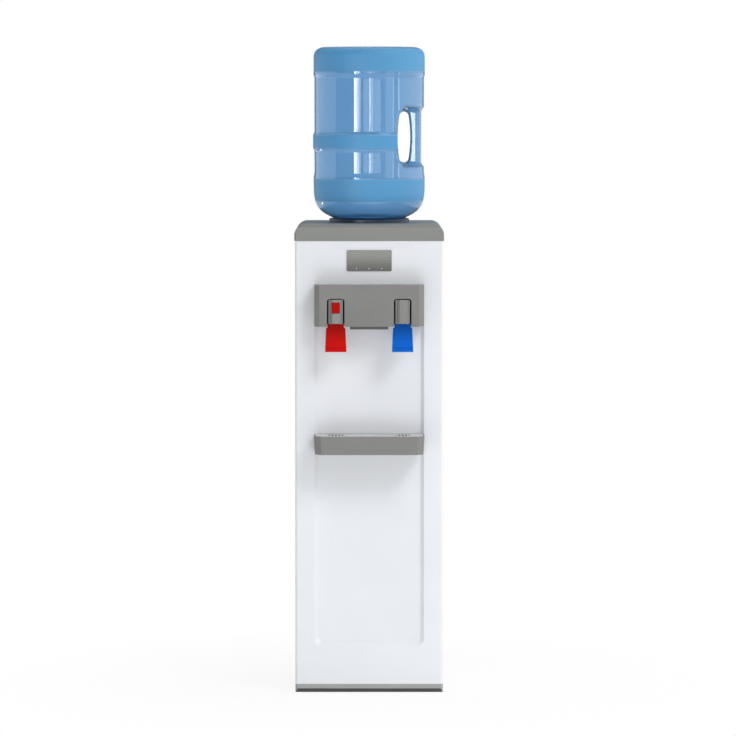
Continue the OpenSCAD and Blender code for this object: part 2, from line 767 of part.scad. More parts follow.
module cold_valve_spring() color(stainless) translate([tap_pitch / 2, 0, 0]) valve_spring();

// Drip tray

module tray_plan(shrink) {
    w = tray_w / 2 - shrink;
    d = tray_out - gap - shrink;
    r = tray_r - shrink;
    into = recess_d - shrink;
    arc = [for (a = [0:15:90]) [w - r + r * sin(a), -d + r - r * cos(a)]];
    polygon(concat(
        [for (p = arc) p],
        [[w, -into], [w - recess_slope - 1.5, into], [-w + recess_slope + 1.5, into], [-w, -into]],
        [for (i = [len(arc) - 1:-1:0]) [-arc[i].x, arc[i].y]]));
}

// Tapers to its floor while the back stays upright
module tray_form(shrink, h) {
    k = (1 - tray_low_w / tray_w) * h / tray_h;
    translate([0, tray_back, tray_top]) mirror([0, 0, 1])
        linear_extrude(h, scale = [1 - k, 1 - 1.4 * k], slices = 1) tray_plan(shrink);
}

module drip_tray() color(grey_abs) {
    difference() {
        tray_form(0, tray_h);
        translate([0, 0, eps]) tray_form(tray_t, grille_t + 0.3);
        translate([0, 0, eps]) tray_form(tray_t + 3, tray_h - tray_t);
    }
    for (s = [-1, 1]) translate([s * 70 - 8, tray_back + recess_d - 2, tray_z + 10])
        cube([16, wall + 4, 12]);
}

// Draining slots under one tap, their ends on an oval
module drain_slots(rx, ry, pitch, slot) {
    for (i = [-2:2]) {
        l = ry * sqrt(1 - pow(i * pitch / (rx + 2), 2));
        translate([i * pitch, 0, 0]) slab(slot, 2 * l, 40, slot / 2 - eps, $fn = 24);
    }
}

module drip_grille() color([0.7, 0.7, 0.7]) difference() {
    translate([0, tray_back, tray_top - grille_t]) linear_extrude(grille_t)
        tray_plan(tray_t + 0.7);
    at_taps() translate([0, tray_back - tray_out / 2 + 2, tray_top - 20]) drain_slots(17, 24, 7, 4);
}

// Bottle

function bezier(a, b, c, d, t) = a * pow(1 - t, 3) + b * 3 * t * pow(1 - t, 2)
    + c * 3 * t * t * (1 - t) + d * pow(t, 3);

// An eased step from one radius to the next, starting at z and h high
function step_down(r0, r1, z, h) = [for (t = [0:1 / 4:1]) [r0 + (r1 - r0) * (1 - cos(180 * t)) / 2,
    z - h * t]];

// Half outline from the flat end down to the neck, drawn in by s
function bottle_outline(s) = concat(
    [for (a = [0:15:90]) [40 * sin(a), bottle_top - s - 6 - 6 * cos(a)]],
    [[86, bottle_top - s]],
    [for (a = [0:15:90]) [band_r - 20 + (20 - s) * sin(a), bottle_top - 20 + (20 - s) * cos(a)]],
    step_down(band_r - s, panel_r - s, bottle_top - 57, 9),
    step_down(panel_r - s, rib_r - s, rib_z + rib_flat / 2 + rib_ramp, rib_ramp),
    step_down(rib_r - s, panel_r - s, rib_z - rib_flat / 2, rib_ramp),
    step_down(panel_r - s, band_r - s, bottle_top - 262, 16),
    [for (t = [0:1 / 10:1]) bezier([band_r - s, seat_z + 66], [band_r - s, seat_z + 24],
        [107 - s * 0.6, seat_z + 12 + s * 0.8], [78, seat_z + s * 1.15], t)],
    [[40, seat_z - 22 + s * 1.15], [31 - s, seat_z - 30], [neck_r + 0.6 - s, seat_z - 38],
        [neck_r - s, seat_z - 42], [neck_r - s, neck_low], [0, neck_low]]);

// Everything that the grip's pockets and hole take away, grown by g
module grip_cut(g) {
    hw = grip_hole_w / 2 + g;
    hh = grip_hole_h / 2 + g;
    beside = 10;
    translate([grip_x, 0, grip_z]) {
        facing(-band_r, 2 * band_r) rounded(2 * hw, 2 * hh, hw - eps);
        for (s = [0, 1]) mirror([0, s, 0]) hull() {
            facing(-grip_d / 2 + g - 1, 1) pocket_outline(hw + 2.5, hh + 6, hw);
            facing(-band_r, 1) pocket_outline(hw + beside, hh + 20, hw + beside);
        }
        translate([grip_end - g, -grip_d / 2 - 20, -hh - 11]) cube([40, grip_d + 40, 2 * hh + 22]);
    }
}

// Reaches by left beside the hole's middle and past the bottle on the right
module pocket_outline(left, up, r) translate([(band_r - left) / 2, 0])
    rounded(band_r + left, 2 * up, r, $fn = 32);

module bottle() color(bottle_blue, 0.6) translate([0, bottle_y, 0]) difference() {
    difference() {
        rotate_extrude() polygon(bottle_outline(0));
        grip_cut(0);
    }
    difference() {
        rotate_extrude() polygon(bottle_outline(bottle_t));
        grip_cut(bottle_t);
    }
    translate([0, 0, neck_low - 1]) cylinder(r = neck_r - bottle_t, h = 4);
}

module bottle_cap() color(cold_blue) translate([0, bottle_y, 0]) {
    out_r = neck_r + 2.9;
    floor_z = neck_low - 0.2;
    rotate_extrude() polygon([[out_r - 0.8, cap_low], [out_r, cap_low + 0.8],
        [out_r, cap_low + 31], [out_r - 1, cap_low + 32], [neck_r + 0.2, cap_low + 32],
        [neck_r + 0.2, floor_z], [13, floor_z], [13, sleeve_top], [11, sleeve_top],
        [11, cap_low]]);
}

module cap_plug() color("white") translate([0, bottle_y, sleeve_top + plug_drop + 0.3])
    rotate_extrude() polygon([[0, -8], [9.7, -8], [10.6, -7], [10.6, 0], [12.8, 0], [12.8, 2.4],
        [12.2, 3], [0, 3]]);

// Water path

module feed_probe() color("ivory") translate([0, bottle_y, 0]) difference() {
    rotate_extrude() polygon([[0, probe_top], [5, probe_top], [probe_r, probe_top - 6],
        [probe_r, well_z + 3], [18, well_z + 3], [18, well_z], [probe_r, well_z],
        [probe_r, lid_z - 2], [7, lid_z - 2], [7, probe_top - 9], [0, probe_top - 6]]);
    for (a = [0:60:120]) rotate([0, 0, a]) translate([-20, -2, probe_top - 26]) cube([40, 4, 14]);
}

module air_filter() color("white") translate([54, bottle_y, 0]) {
    under = seat_z - 0.5 - (78 - 51) * cone_rise - seat_t - 0.4;
    translate([0, 0, under - 48]) cylinder(r = 11, h = 34);
    translate([0, 0, under - 15]) cylinder(r = 3, h = 15 - 0.4, $fn = 32);
    translate([0, 0, under - 56]) cylinder(r = 3, h = 9, $fn = 32);
}

module cold_tank() color(stainless) translate([0, bottle_y, 0]) difference() {
    union() {
        rotate_extrude() polygon([[0, cold_z], [cold_r - 6, cold_z], [cold_r - 1.8, cold_z + 1.8],
            [cold_r, cold_z + 6], [cold_r, lid_z - 1.2], [cold_r + 4, lid_z - 1.2],
            [cold_r + 4, lid_z], [cold_r - 1.2, lid_z], [cold_r - 1.2, cold_z + 6.5],
            [cold_r - 6.4, cold_z + 1.2], [0, cold_z + 1.2]]);
        for (p = tank_pipes) translate([p.x, p.y, shelf_z - 12])
            cylinder(r = 5, h = cold_z + 0.6 - shelf_z + 12, $fn = 32);
    }
    for (p = tank_pipes) translate([p.x, p.y, shelf_z - 13])
        cylinder(r = 3.8, h = cold_z + 20 - shelf_z, $fn = 32);
}

module cold_tank_lid() color("ivory") translate([0, bottle_y, 0]) difference() {
    rotate_extrude() polygon([[probe_r + 0.15, lid_z], [probe_r + 0.15, lid_z + 4.4],
        [cold_r + 4, lid_z + 4.4], [cold_r + 4, lid_z], [cold_r - 1.6, lid_z],
        [cold_r - 1.6, lid_z - 6], [cold_r - 3.6, lid_z - 6], [cold_r - 3.6, lid_z]]);
}

function coil_path() = let (last = coil_turns * coil_steps, a0 = 90) concat(
    [for (z = [line_z, coil_low - 14]) [coil_r * cos(a0), coil_r * sin(a0), z]],
    [[coil_r * cos(a0 + 2), coil_r * sin(a0 + 2), coil_low - 5]],
    [for (i = [1:last], a = a0 + 360 * i / coil_steps) [coil_r * cos(a), coil_r * sin(a),
        coil_low + (coil_high - coil_low) * i / last]],
    [[coil_back_r * cos(a0 + 16), coil_back_r * sin(a0 + 16), coil_high + 5],
        [coil_back_r * cos(a0 + 24), coil_back_r * sin(a0 + 24), coil_high - 4],
        [coil_back_r * cos(a0 + 25), coil_back_r * sin(a0 + 25), coil_high - 20],
        [coil_back_r * cos(a0 + 25), coil_back_r * sin(a0 + 25), coil_low],
        [coil_back_r * cos(a0 + 25), coil_back_r * sin(a0 + 25), line_z]]);

module cooling_coil() color(copper) translate([0, bottle_y, 0]) tube(coil_path(), coil_tube_r);

// The two straight ends of the cooling coil, as places for holes
module at_coil_ends() {
    rotate([0, 0, 90]) translate([coil_r, 0, 0]) children();
    rotate([0, 0, 115]) translate([coil_back_r, 0, 0]) children();
}

module cold_tank_foam() color(foam_white) translate([0, bottle_y, 0]) difference() {
    rotate_extrude() polygon([[0, foam_z], [foam_r - 4, foam_z], [foam_r, foam_z + 4],
        [foam_r, foam_top - 4], [foam_r - 4, foam_top], [0, foam_top]]);
    translate([0, 0, cold_z]) cylinder(r = foam_in_r, h = lid_z + 4.6 - cold_z);
    translate([0, 0, lid_z]) cylinder(r = probe_r + 0.3, h = foam_top - lid_z + 1);
    for (p = tank_pipes) translate([p.x, p.y, foam_z - 1])
        cylinder(r = pipe_hole_r, h = foam_wall + 2, $fn = 32);
    at_coil_ends() translate([0, 0, foam_z - 1])
        cylinder(r = coil_tube_r + 0.4, h = foam_wall + 2, $fn = 32);
}

module tank_shelf() color(steel_grey) {
    y0 = side_y + shelf_back;
    d = back_y - 2 * sheet - 1 - y0;
    w = cab_w - 2 * sheet - 0.4;
    difference() {
        union() {
            translate([-w / 2, y0, shelf_z]) cube([w, d, sheet]);
            for (s = [-1, 1]) translate([s * (w / 2 - sheet / 2) - sheet / 2, y0, shelf_z - 18])
                cube([sheet, d, 18 + sheet / 2]);
        }
        translate([0, bottle_y, shelf_z - 1]) {
            cylinder(r = 42, h = 4);
            translate(tank_pipes[1]) cylinder(r = 7, h = 4, $fn = 32);
            at_coil_ends() cylinder(r = coil_tube_r + 1, h = 4, $fn = 32);
        }
    }
}

module hot_tank() color(stainless) translate([0, bottle_y, 0]) difference() {
    union() {
        rotate_extrude() polygon([[0, hot_z], [hot_r - 10, hot_z], [hot_r - 3, hot_z + 3],
            [hot_r, hot_z + 10], [hot_r, hot_top - 10], [hot_r - 3, hot_top - 3],
            [hot_r - 10, hot_top], [0, hot_top]]);
        translate([0, 0, hot_z - 20]) cylinder(r = 5, h = 22, $fn = 32);
        translate([0, 0, hot_top - 2]) cylinder(r = 5, h = 12, $fn = 32);
        translate([-25, -22, hot_top - 4]) cylinder(r = 5, h = 14, $fn = 32);
    }
    rotate_extrude() polygon([[0, hot_z + 1.2], [hot_r - 10.5, hot_z + 1.2],
        [hot_r - 4, hot_z + 4], [hot_r - 1.2, hot_z + 10.5], [hot_r - 1.2, hot_top - 10.5],
        [hot_r - 4, hot_top - 4], [hot_r - 10.5, hot_top - 1.2], [0, hot_top - 1.2]]);
    translate([0, 0, hot_z - 21]) cylinder(r = 3.8, h = 26, $fn = 32);
    for (p = [[0, 0], [-25, -22]]) translate([p.x, p.y, hot_top - 5])
        cylinder(r = 3.8, h = 20, $fn = 32);
}

module hot_tank_jacket() color("silver") translate([0, bottle_y, 0]) difference() {
    translate([0, 0, cradle_z + sheet + 0.2])
        cylinder(r = jacket_r, h = hot_top + 8 - cradle_z - sheet - 0.2);
    translate([0, 0, hot_z - 0.2]) cylinder(r = hot_r + 4.4, h = hot_h + 0.4);
    translate([0, 0, cradle_z - 2]) cylinder(r = 5.3, h = 20, $fn = 32);
    for (p = [[0, 0], [-25, -22]]) translate([p.x, p.y, hot_top - 5])
        cylinder(r = 5.3, h = 20, $fn = 32);
    translate([-24, -jacket_r - 2, hot_z + hot_h / 2 - 4]) cube([48, 40, 40]);
}

module heater_band() color(steel_grey) translate([0, bottle_y, hot_z + 16]) {
    difference() {
        cylinder(r = hot_r + 3.4, h = 28);
        translate([0, 0, -1]) cylinder(r = hot_r + 0.2, h = 30);
        translate([hot_r - 6, -2.5, -1]) cube([12, 5, 30]);
    }
}

module hot_thermostats() color([0.2, 0.2, 0.2])
    translate([0, bottle_y - hot_r - 0.3, hot_z + hot_h / 2 + 16]) {
        facing(-1.2, 1.2) rounded(44, 22, 3);
        for (s = [-1, 1]) translate([s * 10.5, 0, 0]) {
            rod_y(8.2, -7, -1.1, $fn = 48);
            rod_y(5.5, -12, -6.9, $fn = 48);
        }
    }

module hot_tank_cradle() color(steel_grey) {
    x = jacket_r + 2;
    difference() {
        union() {
            translate([-x - sheet, bottle_y - 24, cradle_z]) cube([2 * (x + sheet), 48, sheet]);
            for (s = [-1, 1]) {
                translate([s * (x + sheet / 2) - sheet / 2, bottle_y - 15, cradle_z])
                    cube([sheet, 30, shelf_z - cradle_z]);
                translate([s * (x + 6) - 6, bottle_y - 15, shelf_z - sheet]) cube([12, 30, sheet]);
            }
        }
        translate([0, bottle_y, cradle_z - 1]) cylinder(r = 8, h = 4);
    }
}

// Hose routes, by hand, each from spigot to spigot
tap_end = [0, tap_end_y + 0.4, spout_z];
spout_end = [drain_x, back_y - 24.4, drain_z];
cold_route = concat(
    lead([tank_pipes[1].x, bottle_y + tank_pipes[1].y, shelf_z - 12.4], [0, 0, -8]),
    [[38, bottle_y - 58, shelf_z - 27], [52, front_y + 56, shelf_z - 20],
        [66, front_y + 42, shelf_z + 14], [tap_pitch / 2, front_y + 44, housing_z + 6]],
    land([tap_pitch / 2, tap_end.y, tap_end.z], [0, 8, 0]));
hot_route = concat(lead([-25, bottle_y - 22, hot_top + 10.4], [0, 0, 6]),
    [[-30, bottle_y - 42, hot_top + 26], [-52, front_y + 56, hot_top + 24],
        [-66, front_y + 42, hot_top + 64], [-tap_pitch / 2, front_y + 44, housing_z + 6]],
    land([-tap_pitch / 2, tap_end.y, tap_end.z], [0, 8, 0]));
drain_route = concat(lead([0, bottle_y, hot_z - 20.4], [0, 0, -16]),
    [[18, bottle_y + 16, hot_z - 80], [60, bottle_y + 60, hot_z - 140],
        [drain_x - 17, back_y - 72, drain_z + 40], [drain_x, back_y - 52, drain_z + 6]],
    land(spout_end, [0, -14, 0]));

module water_hoses() color("gainsboro") {
    tube(smooth(cold_route, 3), 5.6, 8);
    tube(smooth(hot_route, 3), 5.6, 8);
    tube(smooth(drain_route, 3), 5.6, 8);
    translate([0, bottle_y, hot_top + 10.3]) cylinder(r = 6, h = shelf_z - 12.6 - hot_top - 10.3);
}

// Cooling system

module compressor() color(dark_abs) translate([0, comp_y, comp_z]) {
    dome = 40;
    low = 22;
    difference() {
        union() {
            rotate_extrude() polygon(concat(
                [for (a = [0:15:90]) [comp_r * sin(a), 8 + low - low * cos(a)]],
                [[comp_r, comp_h * 0.52], [comp_r + 3, comp_h * 0.52],
                    [comp_r + 3, comp_h * 0.52 + 5], [comp_r - 1, comp_h * 0.52 + 5]],
                [for (a = [90:-15:0]) [(comp_r - 1) * sin(a), comp_h - dome + dome * cos(a)]]));
            translate([0, 0, -0.5]) slab(2 * stud_x + 20, 2 * stud_y - 32, 3, 6);
            translate([0, 0, -0.5]) slab(2 * stud_x - 42, 2 * stud_y + 20, 3, 6);
            for (x = [-1, 1], y = [-1, 1]) translate([x * stud_x, y * stud_y, -0.5])
                cylinder(r = 15, h = 3);
            for (x = [-1, 1], y = [-1, 1])
                translate([x * (stud_x - 12) - 14, y * (stud_y - 8) - 14, -0.5]) cube([28, 28, 3]);
            translate([-14, -14, 2]) cube([28, 28, 10]);
            for (p = ports) translate([p.x, p.y, comp_h - 20])
                cylinder(r = 4.2, h = 20 + port_rise, $fn = 32);
        }
        translate([0, 0, 24]) cylinder(r = comp_r - 16, h = comp_h - 48);
        for (x = [-1, 1], y = [-1, 1]) translate([x * stud_x, y * stud_y, -2])
            cylinder(r = 8.3, h = 6, $fn = 48);
    }
}

module compressor_grommets() color(rubber) at_studs()
    translate([0, 0, plate_z + sheet]) rotate_extrude($fn = 48) polygon([[4, 0], [11, 0],
        [11, grommet_h - 7.8], [8, grommet_h - 7.8], [8, grommet_h - 4],
        [11, grommet_h - 3.7], [10, grommet_h], [4, grommet_h]]);

module relay_cover() color(rubber) translate([0, comp_y, comp_z + 50]) difference() {
    translate([-comp_r - 22, -24, 0]) cube([40, 48, 30]);
    translate([0, 0, -1]) cylinder(r = comp_r + 0.1, h = 40);
}

module condenser_tube() color(rubber) {
    half = cond_w / 2 - cond_pitch / 2;
    for (i = [0:cond_passes - 1]) translate([cond_x, cond_y, cond_z + i * cond_pitch]) {
        rod_x(cond_tube_r, 2 * half, $fn = 24);
        if (i < cond_passes - 1) translate([(i % 2 == 0 ? 1 : -1) * half, 0, cond_pitch / 2])
            rotate([90, 0, 0]) rotate([0, 0, i % 2 == 0 ? -90 : 90])
                rotate_extrude(angle = 180, $fn = 48) translate([cond_pitch / 2, 0])
                    circle(cond_tube_r, $fn = 24);
    }
}

module condenser_wires() color(rubber) {
    for (i = [0:wires - 1], s = [-1, 1])
        translate([cond_x - wire_reach + i * wire_pitch, cond_y + s * wire_off, cond_z - 12])
            cylinder(r = wire_r, h = cond_top - cond_z + 24, $fn = 16);
}

drier = [-98, back_y - 45, 60];

module filter_drier() color(copper) translate(drier) rotate_extrude($fn = 48)
    polygon([[0, 0], [2.5, 0], [2.5, 8], [9, 18], [9, 92], [3.2, 102], [3.2, 112], [0, 112]]);

// Refrigerant routes, by hand
line_x = cond_x + cond_w / 2 + 9;
loop_x = cond_w / 2 - cond_pitch / 2;
discharge_route = concat(lead([ports[1].x, comp_y + ports[1].y, port_z], [0, 0, 10]),
    [[64, comp_y + 42, port_z + 22], [90, back_y - 20, port_z + 28],
        [line_x, back_y + 6, back_open_z - 18], [line_x, cond_y, back_open_z + 20],
        [line_x, cond_y, (cond_z + cond_top) / 2], [line_x, cond_y, cond_top - 16],
        [line_x - 5, cond_y, cond_top - 3]],
    land([cond_x + loop_x + 0.2, cond_y, cond_top], [10, 0, 0]));
outlet_route = concat(lead([cond_x - loop_x - 0.2, cond_y, cond_z], [-8, 0, 0]),
    [[cond_x - cond_w / 2 - 2, cond_y - 2, cond_z - 16],
        [cond_x - cond_w / 2 - 2, back_y - 10, cond_z - 52],
        [drier.x - 4, drier.y + 14, drier.z + 148]],
    land(drier + [0, 0, 112.2], [0, 0, 16]));
suction_end = [coil_back_r * cos(115), bottle_y + coil_back_r * sin(115), line_z - 0.2];
suction_route = concat(lead(suction_end, [0, 0, -20]),
    [[-84, bottle_y + 96, line_z - 110], [-84, bottle_y + 96, port_z + 60],
        [-52, comp_y + 22, port_z + 40]],
    land([ports[0].x, comp_y + ports[0].y, port_z], [0, 0, 14]));
capillary_end = [0, bottle_y + coil_r, line_z - 0.2];
capillary_route = concat(lead(capillary_end, [0, 0, -20]),
    [[-30, bottle_y + 104, line_z - 90], [-74, bottle_y + 108, line_z - 200],
        [-112, back_y - 30, comp_z + 170], [-118, back_y - 34, comp_z + 60],
        [drier.x - 6, drier.y, drier.z - 22]],
    land(drier - [0, 0, 0.2], [0, 0, -8]));

module refrigerant_lines() color(copper) {
    tube(smooth(discharge_route, 2), 2.5);
    tube(smooth(outlet_route, 2), 2.5);
    tube(smooth(suction_route, 3), 3.2);
    tube(smooth(capillary_route, 3), 1.4);
}

// Back fittings

module switch_frames() color(rubber) for (x = switch_x)
    translate([x, back_y - sheet, switch_z]) difference() {
        union() {
            facing(0, 2) rounded(23, 31, 1.5);
            facing(-20, 20.5) rounded(19, 26, 1);
        }
        facing(-9, 12) rounded(14.2, 22.6, 0.8);
        translate([0, -1, 0]) rod_x(1.5 + run_fit, 16.8, $fn = 32);
    }

// Tilted at rest with its upper half pressed in
module rocker() translate([0, back_y - sheet - 1, switch_z]) rotate([9, 0, 0]) {
    across(13.4) polygon([[-3, -9.6], [-3, 9.6], [3, 10.2], [3.6, 9.6], [2.2, 0], [3.6, -9.6],
        [3, -10.2]]);
    rod_x(1.5, 16, $fn = 32);
}

module hot_rocker() color(hot_red) translate([switch_x[0], 0, 0]) rocker();

module cold_rocker() color("green") translate([switch_x[1], 0, 0]) rocker();

module cord_gland() color(rubber) translate([gland_x, 0, gland_z]) {
    rear = front_y + cab_d / 2 + (cab_d - 2 * wall - 1) / 2;
    difference() {
        union() {
            rod_y(9, rear + 0.1, rear + 4.1);
            rod_y(6, rear - 4, rear + 1);
            rod_y(8.5, rear - 5, rear - sheet - 0.1);
        }
        rod_y(3.6, rear - 6, rear + 5, $fn = 32);
    }
}

module drain_spout() color("ivory") translate([drain_x, 0, drain_z]) difference() {
    union() {
        rod_y(7, back_y - 10, back_y + spout_out);
        rod_y(11, back_y - 2 * sheet - 3.2, back_y - 2 * sheet - 0.1);
        rod_y(11, back_y - sheet + 0.1, back_y + 1.8);
        rod_y(5.2, back_y - 24, back_y - 9, $fn = 48);
    }
    rod_y(3.8, back_y - 25, back_y + spout_out + 1, $fn = 48);
}

module drain_cap() color(dark_abs) translate([drain_x, 0, drain_z]) difference() {
    union() {
        rod_y(10.5, back_y + 2.1, back_y + spout_out + 3);
        for (a = [0:30:330]) rotate([0, a, 0]) translate([10.4, back_y + 4, -1])
            cube([0.9, spout_out - 1, 2]);
    }
    rod_y(7.3, back_y + 1, back_y + spout_out + 0.3);
}

module panel_screws() color(stainless) for (s = [-1, 1], z = screw_z)
    translate([s * screw_x, 0, z]) {
        rod_y(1.9, back_y - 8, back_y + 0.5, $fn = 24);
        rod_y(4, back_y, back_y + 1.4, $fn = 32);
        rod_y(2.8, back_y + 1.3, back_y + 2.2, $fn = 32);
    }

front_panel();
side_panel_left();
side_panel_right();
back_panel();
top_cover();
bottle_seat();
base_skirt();
base_plate();
feet();
indicator_plate();
indicator_lenses();
indicator_board();
tap_housing();
housing_bottom_cover();
hot_key();
hot_paddle();
lock_button();
lock_spring();
cold_key();
cold_paddle();
lever_pins();
hot_tap_body();
cold_tap_body();
tap_bonnets();
hot_valve_stem();
cold_valve_stem();
hot_valve_spring();
cold_valve_spring();
drip_tray();
drip_grille();
bottle();
bottle_cap();
cap_plug();
feed_probe();
air_filter();
cold_tank();
cold_tank_lid();
cooling_coil();
cold_tank_foam();
tank_shelf();
hot_tank();
hot_tank_jacket();
heater_band();
hot_thermostats();
hot_tank_cradle();
water_hoses();
compressor();
compressor_grommets();
relay_cover();
condenser_tube();
condenser_wires();
filter_drier();
refrigerant_lines();
switch_frames();
hot_rocker();
cold_rocker();
cord_gland();
drain_spout();
drain_cap();
panel_screws();
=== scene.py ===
"""Looks of a free-standing hot and cold water cooler with an inverted bottle, round its CAD frame."""

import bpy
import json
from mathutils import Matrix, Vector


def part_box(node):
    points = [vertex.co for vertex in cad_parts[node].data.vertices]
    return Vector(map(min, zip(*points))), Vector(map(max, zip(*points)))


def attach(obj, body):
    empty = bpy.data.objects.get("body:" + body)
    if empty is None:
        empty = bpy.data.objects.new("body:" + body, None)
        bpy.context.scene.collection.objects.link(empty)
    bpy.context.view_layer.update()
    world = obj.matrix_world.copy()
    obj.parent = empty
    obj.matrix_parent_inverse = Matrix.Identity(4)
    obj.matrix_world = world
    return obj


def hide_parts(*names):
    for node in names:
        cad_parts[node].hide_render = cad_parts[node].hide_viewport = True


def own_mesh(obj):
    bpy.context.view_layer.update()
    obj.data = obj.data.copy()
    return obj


bl_info = {
    "name": "Water Cooler",
    "version": (1, 0, 0),
    "blender": (4, 5, 0),
    "location": "View3D > Sidebar > Water Cooler",
    "description": "Builds the visible pieces, finishes and studio of a bottled water cooler",
    "category": "Add Mesh",
}

import json
import math

import bmesh
import bpy
from mathutils import Matrix, Vector
from mathutils.bvhtree import BVHTree

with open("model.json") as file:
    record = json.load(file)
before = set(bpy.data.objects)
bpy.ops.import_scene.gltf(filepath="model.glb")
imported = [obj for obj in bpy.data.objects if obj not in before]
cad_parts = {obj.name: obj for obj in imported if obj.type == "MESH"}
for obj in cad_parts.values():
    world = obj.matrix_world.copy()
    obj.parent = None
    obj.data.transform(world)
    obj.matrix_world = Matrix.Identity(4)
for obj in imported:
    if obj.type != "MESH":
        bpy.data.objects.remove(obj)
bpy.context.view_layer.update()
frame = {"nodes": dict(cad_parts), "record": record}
MM = 0.001
ON_PLANE = 0.1 * MM  # a place this near to a plane counts as lying on it


def srgb(red, green, blue):
    """A colour given as it looks on a screen, 0 to 255, turned to Blender's linear values."""
    def channel(v):
        v /= 255
        return v / 12.92 if v <= 0.04045 else ((v + 0.055) / 1.055) ** 2.4
    return (channel(red), channel(green), channel(blue))


def colour(name, text, value):
    return bpy.props.FloatVectorProperty(
        name=name, description=text, subtype="COLOR", size=3, min=0, max=1, default=value)


def length(name, text, value):
    return bpy.props.FloatProperty(
        name=name, description=text, subtype="DISTANCE", unit="LENGTH", min=0, default=value)


def number(name, text, value, high=10.0):
    return bpy.props.FloatProperty(name=name, description=text, min=0, max=high, default=value)


# Settings that a user would change


class CoolerColours(bpy.types.PropertyGroup):
    """Colours of the cooler's finishes"""
    panel: colour("Panels", "White front and side panels", srgb(235, 238, 243))
    trim: colour("Trim", "Grey housing, keys and tray", srgb(128, 129, 127))
    cover: colour("Cover", "Grey top cover", srgb(130, 132, 128))
    skirt: colour("Base strip", "Grey base strip", srgb(165, 167, 166))
    plate_high: colour("Plate top", "Upper edge of the bare plate above the taps", srgb(142, 144, 139))
    plate_low: colour("Plate foot", "Lower edge of the plate", srgb(100, 100, 95))
    # dark plastic whose blue tint is painted reflection of the blue bottle above it
    dark: colour("Seat", "Dark bottle seat", srgb(38, 58, 78))
    hot: colour("Hot", "Hot paddle and child lock", srgb(179, 8, 5))
    cold: colour("Cold", "Cold paddle", srgb(5, 88, 182))
    bottle: colour("Bottle", "Clear walls of the bottle", srgb(157, 203, 236))
    band: colour("Bands", "Frosted bands of the bottle", srgb(97, 191, 236))
    copper: colour("Copper", "Refrigerant lines", srgb(196, 122, 84))
    zinc: colour("Zinc", "Galvanised sheets", srgb(176, 180, 184))


class CoolerSizes(bpy.types.PropertyGroup):
    """Sizes of the pieces that are finer than the CAD frame"""
    shell_edge: length("Shell edge", "Edge radius of the moulded shells", 1.4 * MM)
    small_edge: length("Small edge", "Edge radius of small mouldings", 0.5 * MM)
    sheet_edge: length("Sheet edge", "Edge radius of folded sheets", 0.35 * MM)
    # painted shade: the next three sizes place near-black sheets behind the tap housing, standing in for
    # the shadow seen through the key gaps
    shade_sheet_thickness: length("Gasket", "Thickness of the foam strips behind the tap housing", 1 * MM)
    shade_sheet_breadth: length("Gasket breadth", "Breadth of each foam strip", 12 * MM)
    shade_sheet_beside: length("Gasket place", "From a tap's middle to the middle of its strips", 17.5 * MM)
    # painted shade: how far the near-black paint inside the housing reaches past a key's sides
    slot_shade: length("Slot shade", "How far the dark inside reaches past a key's sides", 8 * MM)
    # painted shade: height over which a paddle's colour darkens towards its top, for the shade on its
    # curved face
    paddle_shade_height: length("Paddle grade", "Height over which a paddle's colour deepens", 62 * MM)
    key_fold: number("Key fold", "Place of the fold in a key's face, as a share of its width", 0.3, 1)
    key_left_turn: number("Left turn", "Slope of the face left of the fold", 0.1, 1)
    key_right_turn: number("Right turn", "Slope of the face right of the fold", 0.045, 1)
    tray_corner: length("Tray corner", "Width of the flat facets at the tray's front corners", 14 * MM)
    bottle_wall: length("Bottle wall", "Thickness of the bottle's wall", 2.2 * MM)
    outline_ease: length("Outline ease", "Half width of the easing of the bottle's outline", 2.5 * MM)
    pocket_blend: length("Pocket blend", "Width over which the grip's pockets sink in", 10 * MM)
    pocket_round: length("Pocket round", "Radius of the pockets' corners", 10 * MM)
    hole_round: length("Hole round", "Edge radius of the hole behind the grip", 3.5 * MM)
    hole_swell: length("Hole swell", "How much wider the hole is in its middle", 3.4 * MM)
    grip_round: length("Grip round", "How far the grip's outer side is round", 13 * MM)
    top_band: length("Top band", "Height of the frosted band round the flat end", 52 * MM)
    rib_from: length("Rib band from", "From the flat end to the rib's frosted band", 185.4 * MM)
    rib_to: length("Rib band to", "From the flat end to the end of the rib's band", 213.4 * MM)
    low_from: length("Low band from", "From the flat end to the low frosted band", 278 * MM)
    low_to: length("Low band to", "From the flat end to the end of the low band", 325 * MM)


class StudioSettings(bpy.types.PropertyGroup):
    """Camera and lights"""
    distance: length("Distance", "From the cabinet's front to the camera", 8.168)
    height: length("Height", "Camera above the floor", 1.2147)
    tilt: number("Tilt", "Degrees that the camera looks down", 3.724, 90)
    focal: number("Focal length", "Millimetres on a 36 mm sensor", 191.56, 400)
    fill: number("Fill", "Strength of the surroundings beside and behind the cooler", 0.75)
    fill_front: number("Front fill", "Strength of the surroundings behind the camera", 0.26)
    fill_left: number("Left fill", "Share of that strength at the far left", 0.4, 2)
    fill_right: number("Right fill", "Share of that strength at the far right", 1.15, 2)
    above: number("Light from above", "Strength overhead, against that at eye level", 1.85)
    backdrop: colour("Backdrop", "Colour that reflections show behind the cooler", srgb(150, 168, 188))
    key: number("Key", "Brightness of the large lamp at the upper right", 9.35, 1000)
    bounce: number("Bounce", "Brightness of the low sheet in front, as from a white table", 1.25, 1000)
    strip: number("Strip", "Brightness of the tall strip lamps", 12.0, 1000)
    sheet: number("Sheet", "Brightness of the broad sheets beside and behind the camera", 1.7, 1000)


def settings():
    scene = bpy.context.scene
    return scene.cooler_colours, scene.cooler_sizes, scene.cooler_studio


# Finishes


